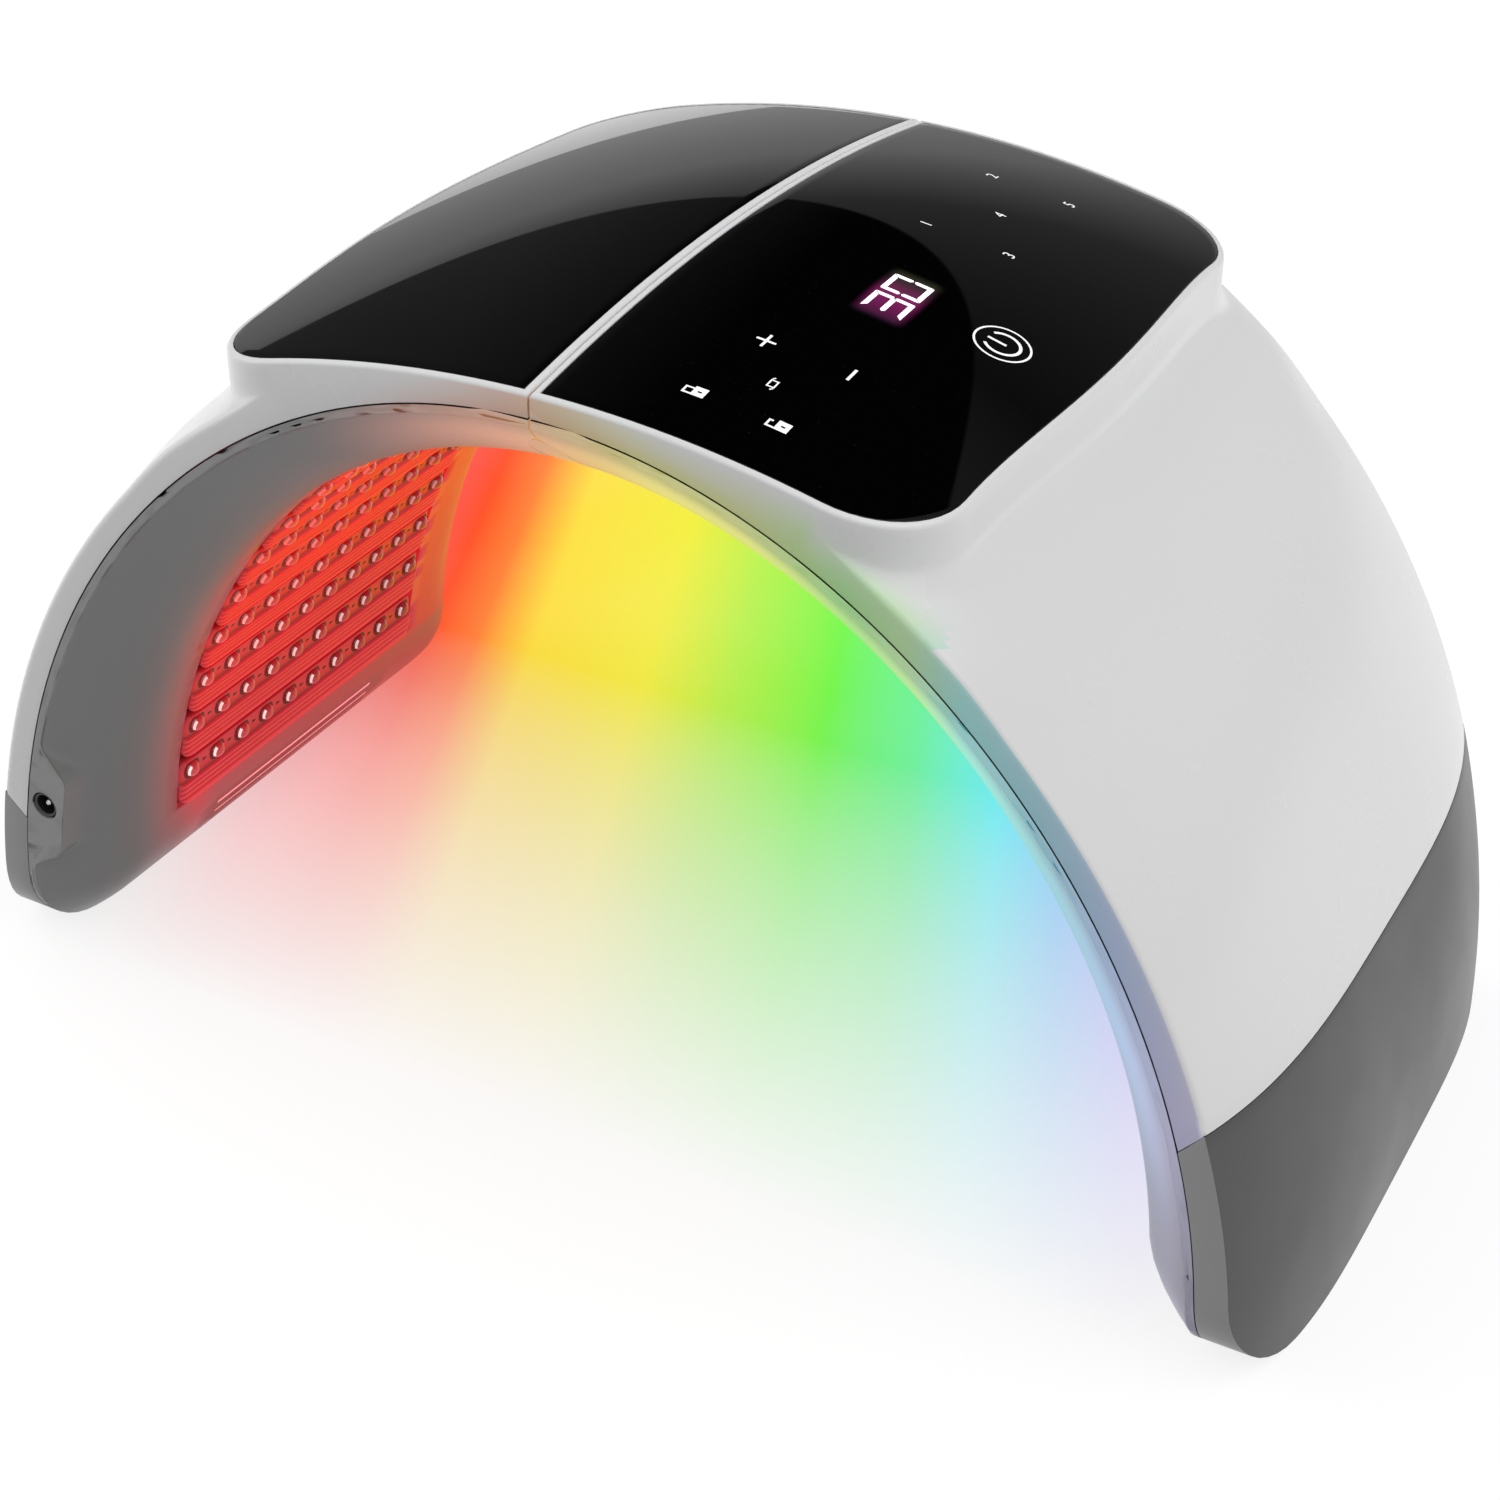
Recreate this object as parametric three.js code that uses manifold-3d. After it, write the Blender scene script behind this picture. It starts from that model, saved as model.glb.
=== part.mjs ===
// Folding arch lamp with light panels on its inside: two shell halves hinged at the crown.
// Millimetres, +Z up. X runs across the arch, Y through it with the front rim at -Y.
// The origin is under the crown, on the surface that the legs stand on.
import * as THREE from 'three';
import { mergeVertices } from 'three/addons/utils/BufferGeometryUtils.js';
import Module from 'manifold-3d';

const wasm = await Module();
wasm.setup();

// General
const CLEARANCE = 0.3;
const OVERRUN = 2;
const SEAM_GAP = 0.6;
const ROUND_SIDES = 12;
const SMALL_SIDES = 8;

// Arch line: the parting line of the rims, from the crown down to the foot
const HALF_SPAN = 180.4;
const CROWN_HEIGHT = 215.3;
const CROWN_HANDLE = 96;
const SIDE_HANDLE = 111.8;
const FOOT_STRAIGHT = 5.1;
const HALF_DEPTH = 101.5;
const FOOT_CORNER = 27;
const STATION_STEP = 19;

// Outer shells
const RIM_AT_CROWN = 6;
const RIM_AT_FOOT = 9;
const CROWNING_AT_CROWN = 8.5;
const CROWNING_AT_FOOT = 11.8;
const FULLNESS_AT_CROWN = 2;
const FULLNESS_AT_FOOT = 4.5;
const RIM_CHAMFER = 1.4;
const SHELL_WALL = 2.4;
const RIGHT_CAP_HEIGHT = 75.5;
const LEFT_CAP_HEIGHT = 51.8;
const CAP_SLANT_SHARE = 0.65;

// Inner covers
const COVER_LIP = 2.4;
const COVER_WALL = 2.2;
const COVER_SKIN = 1.8;
const PILLOW_DEPTH = 18.6;
const PILLOW_RUN = 28;

// Blister round the inlet, front of the left cover
const BLISTER_DEPTH = 12.5;
const BLISTER_BOTTOM = 29;
const BLISTER_TOP = 77;
const BLISTER_LOWER_RAMP = 11.5;
const BLISTER_UPPER_RAMP = 11.5;

// Vent slots, foot of the left cover
const VENT_COUNT = 4;
const VENT_FIRST_HEIGHT = 13;
const VENT_PITCH = 3;
const VENT_WIDTH = 1.2;
const VENT_END_MARGIN = 61.5;
const VENT_HALF_LENGTH = HALF_DEPTH - VENT_END_MARGIN;

// Console on the crown, half on each shell
const CONSOLE_HALF_LENGTH = 99.6;
const CONSOLE_CORNER = 25.4;
const DOME_TOP = CROWN_HEIGHT + RIM_AT_CROWN + CROWNING_AT_CROWN;
const DOME_SAG_ACROSS = 16.2;
const DOME_SAG_DEPTH = CROWNING_AT_CROWN;
const BEZEL_WIDTH = 2;
const BEZEL_LIP = 0.4;
const BEZEL_CHAMFER = 0.8;
const CONSOLE_WALL_DROP = 11;
const FILLET_RADIUS = 14;
const FILLET_TURN = THREE.MathUtils.degToRad(48);
const FILLET_STEPS = 3;
const FILLET_TAIL = 7;
const CONSOLE_REACH = CONSOLE_WALL_DROP + FILLET_RADIUS + FILLET_TAIL + OVERRUN;
const CONSOLE_BLANK_TOP = DOME_TOP + CONSOLE_WALL_DROP;
const CONSOLE_BLANK_BOTTOM = DOME_TOP - DOME_SAG_ACROSS - DOME_SAG_DEPTH - CONSOLE_REACH;
const TRAY_THICKNESS = 2.2;
const GLASS_THICKNESS = 2;

// Light field
const LED_PITCH = 12;
const ROW_PITCH = 17.8;
const FIRST_ROW_HEIGHT = 47.3;
const TOP_ROW_DROP = 32;
const LED_ROW_SHARE = 0.68;
const WINDOW_MARGIN = 41.5;
const WINDOW_HALF_WIDTH = HALF_DEPTH - WINDOW_MARGIN;
const LEDS_PER_ROW = Math.round((WINDOW_HALF_WIDTH * 2) / LED_PITCH);
const LEDGE_DEPTH = 22.4;
const RIB_VALLEY_DEPTH = 21.7;
const RIB_RIDGE_DEPTH = 22.3;
const BEAD_BAND_DEPTH = 21.4;
const GROOVE_DEPTH = 19.9;
const BEAD_RADIUS = 2.7;
const BEAD_HEIGHT = 2.2;
const BEAD_ROOT = 0.6;
const BEAD_SIDES = 6;
const FLANGE_WIDTH = 3;
const FLANGE_THICKNESS = 1.6;
const BOARD_THICKNESS = 1.6;
const BOARD_GAP = 0.6;
const ROW_BAR_HEIGHT = 0.8;
const ROW_BAR_SHARE = 0.3;
const ROW_BAR_TOP_SHARE = 0.27;

// Hinge along the inner crown
const HINGE_DROP = 12.3;
const HINGE_HEIGHT = CROWN_HEIGHT - HINGE_DROP;
const BARREL_RADIUS = 5;
const GROOVE_CLEARANCE = 0.5;
const FOLD_LIMIT_DEG = 81;
const FOLD_RELIEF_DEG = 2;
const KNUCKLE_COUNT = 5;
const KNUCKLE_GAP = 0.5;
const BARREL_END_MARGIN = 21.5;
const BARREL_HALF_LENGTH = HALF_DEPTH - BARREL_END_MARGIN;
const PIN_RADIUS = 2;
const LEAF_THICKNESS = 1.8;
const LEAF_LENGTH = 16;
const BEAM_LENGTH = 18;
const LEAF_SCREW_INSET = 5;
const LEAF_SCREW_SHARE = 0.75;
const LEAF_SCREW_PITCH = BARREL_HALF_LENGTH * LEAF_SCREW_SHARE;
const LEAF_SCREW_COUNT = 3;
const LEAF_SCREW = { shank: 1.4, head: 2.7, headHeight: 1.8, length: 8 };

// Inlet in the left leg
const JACK_HEIGHT = 54.8;
const JACK_INSET = 6;
const JACK_NOZZLE_RADIUS = 4;
const JACK_BORE_RADIUS = 3.1;
const JACK_BORE_DEPTH = 9;
const JACK_PIN_RADIUS = 0.9;
const JACK_PIN_LENGTH = 8;
const JACK_BODY_HALF_HEIGHT = 5;
const JACK_BODY_HALF_DEPTH = 4.4;
const JACK_BODY_LENGTH = 11;
const JACK_RECESS = 0.4;

// Electronics under the right glass
const TOUCH_X0 = 24;
const TOUCH_SIDE_MARGIN = 11.1;
const TOUCH_FRONT_MARGIN = 9.5;
const TOUCH_REAR_MARGIN = 25.5;
const TOUCH_X1 = CONSOLE_HALF_LENGTH - TOUCH_SIDE_MARGIN;
const TOUCH_Y0 = TOUCH_FRONT_MARGIN - HALF_DEPTH;
const TOUCH_Y1 = HALF_DEPTH - TOUCH_REAR_MARGIN;
const TOUCH_THICKNESS = 1.6;
const BOARD_SEAM_MARGIN = 6.1;
const BOARD_SIDE_MARGIN = 2.5;
const BOARD_END_MARGIN = 51.5;
const CONTROL_BOARD_LENGTH = CONSOLE_HALF_LENGTH - BOARD_SEAM_MARGIN - BOARD_SIDE_MARGIN;
const CONTROL_BOARD_HALF_WIDTH = HALF_DEPTH - BOARD_END_MARGIN;
const DISPLAY_X = BOARD_SEAM_MARGIN + CONTROL_BOARD_LENGTH / 2;
const DISPLAY_Y = -17;
const DISPLAY_SIZE_X = 15;
const DISPLAY_SIZE_Y = 24;
const CONTROL_BOARD_DROP = 13.5;
const BOARD_SCREW_INSET = 4.5;
const BOARD_SCREW = { shank: 1.1, head: 2.2, headHeight: 1.4, length: 5.4 };
const BOSS_RADIUS = 3;

// Supply leads
const LEAD_RADIUS = 1.5;
const LEAD_SIDES = 8;
const LEAD_MARGIN = 21.5;
const LEAD_Y = LEAD_MARGIN - HALF_DEPTH;
const LEAD_INSET = 4;
const LEAD_STEP = 14;
const LEAD_BEND = 8;

const COLOURS = {
  whiteGloss: ['#e6e7e9', 0.22, 0],
  greySatin: ['#6d6e70', 0.48, 0],
  capGrey: ['#5c5d60', 0.38, 0],
  blackGlass: ['#08080a', 0.06, 0],
  lensLeft: ['#e0161a', 0.25, 0],
  lensRight: ['#d8d8da', 0.25, 0],
  boardGreen: ['#1d5a38', 0.55, 0],
  boardWhite: ['#e8e8e4', 0.5, 0],
  blackPlastic: ['#141416', 0.5, 0],
  steel: ['#a9abae', 0.32, 1],
  leadBlack: ['#1a1a1c', 0.6, 0],
};

const group = new THREE.Group();

function add(name, solid, [colour, roughness, metalness], holder = group) {
  const material = new THREE.MeshStandardMaterial({ color: colour, roughness, metalness });
  const mesh = new THREE.Mesh(geometryOf(solid), material);
  mesh.name = name;
  holder.add(mesh);
  return mesh;
}

// Solids

function closedSolid(positions, index) {
  const geometry = new THREE.BufferGeometry();
  geometry.setAttribute('position', new THREE.Float32BufferAttribute(positions, 3));
  geometry.setIndex(index);
  return solidOf(geometry);
}

function signedVolume(position, index) {
  const [a, b, c] = [new THREE.Vector3(), new THREE.Vector3(), new THREE.Vector3()];
  let sum = 0;
  for (let i = 0; i < index.count; i += 3) {
    a.fromBufferAttribute(position, index.getX(i));
    b.fromBufferAttribute(position, index.getX(i + 1));
    c.fromBufferAttribute(position, index.getX(i + 2));
    sum += a.dot(b.cross(c));
  }
  return sum;
}

function solidOf(source) {
  const bare = source.clone();
  bare.deleteAttribute('normal');
  bare.deleteAttribute('uv');
  const geometry = mergeVertices(bare);
  const position = geometry.attributes.position;
  const index = geometry.index;
  const triVerts = Uint32Array.from(index.array);
  if (signedVolume(position, index) < 0) {
    for (let i = 0; i < triVerts.length; i += 3) {
      [triVerts[i + 1], triVerts[i + 2]] = [triVerts[i + 2], triVerts[i + 1]];
    }
  }
  const vertProperties = Float32Array.from(position.array);
  return new wasm.Manifold(new wasm.Mesh({ numProp: 3, vertProperties, triVerts }));
}

function geometryOf(solid) {
  const mesh = solid.getMesh();
  const positions = new Float32Array((mesh.vertProperties.length / mesh.numProp) * 3);
  for (let i = 0; i < positions.length / 3; i += 1) {
    positions.set(mesh.vertProperties.subarray(i * mesh.numProp, i * mesh.numProp + 3), i * 3);
  }
  const geometry = new THREE.BufferGeometry();
  geometry.setAttribute('position', new THREE.BufferAttribute(positions, 3));
  geometry.setIndex(new THREE.BufferAttribute(Uint32Array.from(mesh.triVerts), 1));
  geometry.computeVertexNormals();
  return geometry;
}

// Joins rings whose first half is one edge of a band and second half the other, run back.
function loft(rings) {
  const count = rings[0].length;
  const positions = rings.flat().flatMap((point) => [point.x, point.y, point.z]);
  const index = [];
  const quad = (a, b, c, d) => index.push(a, b, c, a, c, d);
  for (let i = 0; i + 1 < rings.length; i += 1) {
    for (let j = 0; j < count; j += 1) {
      const next = (j + 1) % count;
      quad(i * count + j, i * count + next, (i + 1) * count + next, (i + 1) * count + j);
    }
  }
  const last = (rings.length - 1) * count;
  for (let j = 0; j + 1 < count / 2; j += 1) {
    quad(j, count - 1 - j, count - 2 - j, j + 1);
    quad(last + j, last + j + 1, last + count - 2 - j, last + count - 1 - j);
  }
  return closedSolid(positions, index);
}

function ringOf(pairs, place) {
  const near = pairs.map(([point]) => place(point));
  const far = pairs.map(([, point]) => place(point)).reverse();
  return [...near, ...far];
}

function box(x0, x1, y0, y1, z0, z1) {
  const geometry = new THREE.BoxGeometry(Math.abs(x1 - x0), y1 - y0, z1 - z0);
  geometry.translate((x0 + x1) / 2, (y0 + y1) / 2, (z0 + z1) / 2);
  return solidOf(geometry);
}

// Rod along Y
function rod(radius, x, z, y0, y1, sides = ROUND_SIDES) {
  const geometry = new THREE.CylinderGeometry(radius, radius, y1 - y0, sides);
  geometry.translate(x, (y0 + y1) / 2, 0);
  return solidOf(geometry.translate(0, 0, z));
}

// Post along Z
function post(radius, x, y, z0, z1, sides = SMALL_SIDES) {
  const geometry = new THREE.CylinderGeometry(radius, radius, z1 - z0, sides);
  geometry.rotateX(Math.PI / 2);
  geometry.translate(x, y, (z0 + z1) / 2);
  return solidOf(geometry);
}

function screwSolid({ shank, head, headHeight, length }) {
  const profile = [
    new THREE.Vector2(0, -length),
    new THREE.Vector2(shank, -length),
    new THREE.Vector2(shank, 0),
    new THREE.Vector2(head, 0),
    new THREE.Vector2(head, headHeight),
    new THREE.Vector2(0, headHeight),
  ];
  const geometry = new THREE.LatheGeometry(profile, SMALL_SIDES);
  geometry.rotateX(Math.PI / 2);
  return solidOf(geometry);
}

// Arch line and surfaces. "up" is measured along the line from the foot, "out" square to it.

const archLine = new THREE.CurvePath();
archLine.add(new THREE.CubicBezierCurve(
  new THREE.Vector2(0, CROWN_HEIGHT),
  new THREE.Vector2(CROWN_HANDLE, CROWN_HEIGHT),
  new THREE.Vector2(HALF_SPAN, FOOT_STRAIGHT + SIDE_HANDLE),
  new THREE.Vector2(HALF_SPAN, FOOT_STRAIGHT),
));
archLine.add(new THREE.LineCurve(
  new THREE.Vector2(HALF_SPAN, FOOT_STRAIGHT),
  new THREE.Vector2(HALF_SPAN, 0),
));
const ARCH_LENGTH = archLine.getLength();

function archPoint(up, out, y, side) {
  const share = 1 - up / ARCH_LENGTH;
  const point = archLine.getPoint(share);
  const along = archLine.getTangent(share);
  const x = SEAM_GAP / 2 + point.x - out * along.y;
  return new THREE.Vector3(side * x, y, point.y + out * along.x);
}

// Half depth of the leg outline at a height, drawn in by an inset
function halfDepthAt(up, inset = 0) {
  if (up >= FOOT_CORNER) {
    return HALF_DEPTH - inset;
  }
  const rise = (FOOT_CORNER - inset) ** 2 - (FOOT_CORNER - up) ** 2;
  return HALF_DEPTH - FOOT_CORNER + Math.sqrt(Math.max(rise, 0));
}

// Distance from the leg outline
function outlineDistance(up, y) {
  const past = Math.abs(y) - (HALF_DEPTH - FOOT_CORNER);
  if (up < FOOT_CORNER && past > 0) {
    return Math.max(FOOT_CORNER - Math.hypot(FOOT_CORNER - up, past), 0);
  }
  return Math.min(up, HALF_DEPTH - Math.abs(y));
}

// Value that grows from the crown down to the foot
function towardFoot(atCrown, atFoot, up) {
  return atCrown + (atFoot - atCrown) * (1 - up / ARCH_LENGTH) ** 2;
}

function rimWidth(up) {
  return towardFoot(RIM_AT_CROWN, RIM_AT_FOOT, up);
}

function outerSurface(up, y) {
  const crowning = towardFoot(CROWNING_AT_CROWN, CROWNING_AT_FOOT, up);
  const fullness = towardFoot(FULLNESS_AT_CROWN, FULLNESS_AT_FOOT, up);
  return rimWidth(up) + crowning * (1 - (Math.abs(y) / HALF_DEPTH) ** fullness);
}

function smoothRamp(value) {
  return THREE.MathUtils.smoothstep(value, 0, 1);
}

function blisterAt(up, y, side) {
  if (side > 0 || y > 0) {
    return 0;
  }
  const lower = smoothRamp((up - BLISTER_BOTTOM) / BLISTER_LOWER_RAMP);
  const upper = smoothRamp((BLISTER_TOP - up) / BLISTER_UPPER_RAMP);
  return COVER_LIP + (BLISTER_DEPTH - COVER_LIP) * Math.min(lower, upper);
}

function pillow(distance) {
  const left = 1 - Math.min(Math.max(distance, 0) / PILLOW_RUN, 1);
  return COVER_LIP + PILLOW_DEPTH * (1 - left ** 2);
}

function innerSurface(up, y, side) {
  return -Math.max(pillow(outlineDistance(up, y)), blisterAt(up, y, side));
}

function hiddenSurface(up, y, side) {
  const depth = pillow(outlineDistance(up, y) - COVER_WALL);
  return COVER_SKIN - Math.max(depth, blisterAt(up, y, side));
}

const COVER_BACK = COVER_LIP + PILLOW_DEPTH - COVER_SKIN;

const CORNER_ANGLES = [22, 45, 68, 90].map(THREE.MathUtils.degToRad);
const LEAST_STATION_SHARE = 0.06;

// Heights of the sections between two heights: close round the foot corner, even above it
function stations(from, to, extra = []) {
  const corner = CORNER_ANGLES.map((angle) => FOOT_CORNER * (1 - Math.cos(angle)));
  const count = Math.ceil((ARCH_LENGTH - FOOT_CORNER) / STATION_STEP);
  const step = (ARCH_LENGTH - FOOT_CORNER) / count;
  const even = Array.from({ length: count - 1 }, (_, i) => FOOT_CORNER + step * (i + 1));
  const least = STATION_STEP * LEAST_STATION_SHARE;
  const inner = [...corner, ...even, ...extra].filter((up) => up > from + least && up < to - least);
  return [from, ...inner.sort((a, b) => a - b), to];
}

const BLISTER_SHARES = [0, 0.25, 0.5, 0.75, 1];
const blisterStations = [
  ...BLISTER_SHARES.map((share) => BLISTER_BOTTOM + share * BLISTER_LOWER_RAMP),
  ...BLISTER_SHARES.map((share) => BLISTER_TOP - share * BLISTER_UPPER_RAMP),
];

function sweep(heights, sectionOf, side) {
  return loft(heights.map((up) => ringOf(
    sectionOf(up),
    ([y, out, shift = 0]) => archPoint(up + shift, out, y, side),
  )));
}

// Band of constant section through the arch, from pairs of [up, out] points
function band(pairs, y0, y1, side) {
  return loft([y0, y1].map((y) => ringOf(pairs, ([up, out]) => archPoint(up, out, y, side))));
}

// Outer shell and leg cap

const SPAN_SHARES = [-1, -0.84, -0.58, -0.3, 0, 0.3, 0.58, 0.84, 1];

// The joint of cap and shell is level on the outer face and slants down over the rims.
function capShift(up, y, out) {
  const along = archLine.getTangent(1 - up / ARCH_LENGTH);
  const lean = -along.x / along.y;
  const face = outerSurface(up, y);
  return (out - face) * CAP_SLANT_SHARE - (face - rimWidth(up)) * lean;
}

function filledShellSection(sheared) {
  return (up) => {
    const half = halfDepthAt(up);
    const edge = outerSurface(up, half);
    const tops = [
      [-half, edge - RIM_CHAMFER],
      ...SPAN_SHARES.map((share) => {
        const y = share * (half - RIM_CHAMFER);
        return [y, outerSurface(up, y)];
      }),
      [half, edge - RIM_CHAMFER],
    ];
    const shifted = (y, out) => [y, out, sheared === up ? capShift(up, y, out) : 0];
    return tops.map(([y, out]) => [shifted(y, out), shifted(y, 0)]);
  };
}

function shellCavitySection(up) {
  const half = halfDepthAt(up, SHELL_WALL);
  return SPAN_SHARES.map((share) => {
    const y = share * half;
    return [[y, outerSurface(up, y) - SHELL_WALL], [y, -OVERRUN]];
  });
}

function shellCavity(side) {
  const heights = stations(SHELL_WALL, ARCH_LENGTH - SHELL_WALL);
  return sweep(heights, shellCavitySection, side);
}

function legCap(side, height) {
  const top = height - CLEARANCE;
  const below = top - STATION_STEP;
  const heights = stations(0, below).concat(top);
  return sweep(heights, filledShellSection(top), side).subtract(shellCavity(side));
}

// Console: outline in plan, its dome and the flared skirt down to the arch

function domeHeight(x, y) {
  const across = DOME_SAG_ACROSS * (x / CONSOLE_HALF_LENGTH) ** 2;
  return DOME_TOP - across - DOME_SAG_DEPTH * (y / HALF_DEPTH) ** 2;
}

const CONSOLE_X_SHARES = [0, 0.4, 0.75, 1];
const CONSOLE_Y_SHARES = [0.55, 0.15];
const CONSOLE_CORNER_STEPS = 5;

// Front half of the outline from the seam round the corner, as unit corner points
function consoleOutline(inset, grow) {
  const x0 = SEAM_GAP / 2 + inset;
  const cornerX = CONSOLE_HALF_LENGTH - CONSOLE_CORNER;
  const cornerY = HALF_DEPTH - CONSOLE_CORNER;
  const radius = CONSOLE_CORNER - inset;
  const points = CONSOLE_X_SHARES.map((share) => {
    const x = x0 + share * (cornerX - x0);
    return { x, y: cornerY + radius, dx: 0, dy: 1 };
  });
  for (let i = 1; i <= CONSOLE_CORNER_STEPS; i += 1) {
    const angle = (Math.PI / 2) * (i / CONSOLE_CORNER_STEPS);
    const [dx, dy] = [Math.sin(angle), Math.cos(angle)];
    points.push({ x: cornerX + radius * dx, y: cornerY + radius * dy, dx, dy });
  }
  CONSOLE_Y_SHARES.forEach((share) => {
    points.push({ x: cornerX + radius, y: share * cornerY, dx: 1, dy: 0 });
  });
  return points.map((point) => ({
    ...point,
    px: point.x + grow * point.dx,
    py: point.y + grow * point.dy,
  }));
}

function consoleRing(inset, grow, side, heightOf) {
  const pairs = consoleOutline(inset, grow).map((point) => {
    const z = heightOf(point);
    return [[point.px, -point.py, z], [point.px, point.py, z]];
  });
  return ringOf(pairs, ([x, y, z]) => new THREE.Vector3(side * x, y, z));
}

function consoleBlank(inset, side) {
  const drop = (depth) => (point) => domeHeight(point.x, point.y) - depth;
  const rings = [
    consoleRing(inset, -BEZEL_CHAMFER, side, () => CONSOLE_BLANK_TOP),
    consoleRing(inset, -BEZEL_CHAMFER, side, drop(-BEZEL_LIP)),
    consoleRing(inset, 0, side, drop(BEZEL_CHAMFER)),
    consoleRing(inset, 0, side, drop(CONSOLE_WALL_DROP)),
  ];
  for (let i = 1; i <= FILLET_STEPS; i += 1) {
    const turn = FILLET_TURN * (i / FILLET_STEPS);
    const grow = FILLET_RADIUS * (1 - Math.cos(turn));
    const depth = CONSOLE_WALL_DROP + FILLET_RADIUS * Math.sin(turn);
    rings.push(consoleRing(inset, grow, side, drop(depth)));
  }
  const run = FILLET_RADIUS * (1 - Math.cos(FILLET_TURN)) + FILLET_TAIL * Math.sin(FILLET_TURN);
  const fall = FILLET_RADIUS * Math.sin(FILLET_TURN) + FILLET_TAIL * Math.cos(FILLET_TURN);
  rings.push(consoleRing(inset, run, side, drop(CONSOLE_WALL_DROP + fall)));
  rings.push(consoleRing(inset, run, side, () => CONSOLE_BLANK_BOTTOM));
  return loft(rings);
}

const DOME_SHARES = [-0.03, 0.22, 0.44, 0.65, 0.84, 1.03];
const DOME_DEPTH_SHARES = [-1.03, -0.7, -0.35, 0, 0.35, 0.7, 1.03];

// Slab under the dome, lowered by a depth; its floor is flat or follows the dome
function domeSlab(depth, side, floorOf) {
  const rings = DOME_SHARES.map((share) => {
    const x = share * CONSOLE_HALF_LENGTH;
    const pairs = DOME_DEPTH_SHARES.map((across) => {
      const y = across * HALF_DEPTH;
      const top = domeHeight(x, y) - depth;
      return [[x, y, top], [x, y, floorOf(x, y)]];
    });
    return ringOf(pairs, ([px, y, z]) => new THREE.Vector3(side * px, y, z));
  });
  return loft(rings);
}

const flatFloor = () => CONSOLE_BLANK_BOTTOM - OVERRUN;
const domeFloor = (depth) => (x, y) => domeHeight(x, y) - depth;

function domePlate(x0, x1, y0, y1, depth, thickness, side) {
  const blank = box(side * x0, side * x1, y0, y1, CONSOLE_BLANK_BOTTOM, CONSOLE_BLANK_TOP);
  return blank.intersect(domeSlab(depth, side, domeFloor(depth + thickness)));
}

function glassBlank(grow, side) {
  const inset = BEZEL_WIDTH - grow;
  return loft([CONSOLE_BLANK_TOP, CONSOLE_BLANK_BOTTOM].map(
    (z) => consoleRing(inset, 0, side, () => z),
  ));
}

function glassPanel(side) {
  return glassBlank(0, side).intersect(domeSlab(0, side, domeFloor(GLASS_THICKNESS)));
}

function glassPocket(side) {
  const above = -OVERRUN;
  const floor = domeFloor(GLASS_THICKNESS + CLEARANCE);
  return glassBlank(CLEARANCE, side).intersect(domeSlab(above, side, floor));
}

// Everything above the arch line inside the rim planes
function aboveArch(below, side) {
  const reach = DOME_TOP - CROWN_HEIGHT + FILLET_RADIUS + CONSOLE_WALL_DROP;
  return sweep(
    stations(RIGHT_CAP_HEIGHT + STATION_STEP, ARCH_LENGTH),
    () => [-1, 1].map((end) => {
      const y = end * (HALF_DEPTH + (below > 0 ? OVERRUN : 0));
      return [[y, reach], [y, -below]];
    }),
    side,
  );
}

function outerShell(side, capHeight) {
  const heights = stations(capHeight, ARCH_LENGTH);
  const trayDepth = GLASS_THICKNESS + CLEARANCE + TRAY_THICKNESS;
  const raised = consoleBlank(0, side)
    .intersect(domeSlab(-BEZEL_LIP, side, flatFloor))
    .intersect(aboveArch(0, side));
  const hollow = consoleBlank(SHELL_WALL, side)
    .intersect(domeSlab(trayDepth, side, flatFloor))
    .intersect(aboveArch(OVERRUN, side));
  const tray = consoleBlank(0, side)
    .intersect(domeSlab(trayDepth - TRAY_THICKNESS, side, domeFloor(trayDepth)));
  return sweep(heights, filledShellSection(capHeight), side)
    .add(raised)
    .subtract(shellCavity(side).subtract(tray))
    .subtract(hollow)
    .subtract(glassPocket(side));
}

// Light field: lens panel and board

function innerStep(up) {
  const here = archPoint(up, -BEAD_BAND_DEPTH, 0, 1);
  const next = archPoint(up + CLEARANCE, -BEAD_BAND_DEPTH, 0, 1);
  return here.distanceTo(next) / CLEARANCE;
}

const rowHeights = [];
for (let up = FIRST_ROW_HEIGHT; up < ARCH_LENGTH - TOP_ROW_DROP; up += ROW_PITCH / innerStep(up)) {
  rowHeights.push(up);
}

function alongRow(row, share) {
  return rowHeights[row] + ((share - LED_ROW_SHARE) * ROW_PITCH) / innerStep(rowHeights[row]);
}

const FIELD_BOTTOM = alongRow(0, 0);
const FIELD_TOP = alongRow(rowHeights.length - 1, 1);

// One step of the panel, from its lower ledge to the groove under the next one: [share, depth]
const STEP_SHARES = [
  [0.02, LEDGE_DEPTH],
  [0.09, LEDGE_DEPTH],
  [0.13, RIB_VALLEY_DEPTH],
  [0.19, RIB_RIDGE_DEPTH],
  [0.25, RIB_VALLEY_DEPTH],
  [0.31, RIB_RIDGE_DEPTH],
  [0.37, RIB_VALLEY_DEPTH],
  [0.43, RIB_RIDGE_DEPTH],
  [0.49, BEAD_BAND_DEPTH],
  [0.87, BEAD_BAND_DEPTH],
  [0.9, GROOVE_DEPTH],
  [0.99, GROOVE_DEPTH],
];

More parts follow.
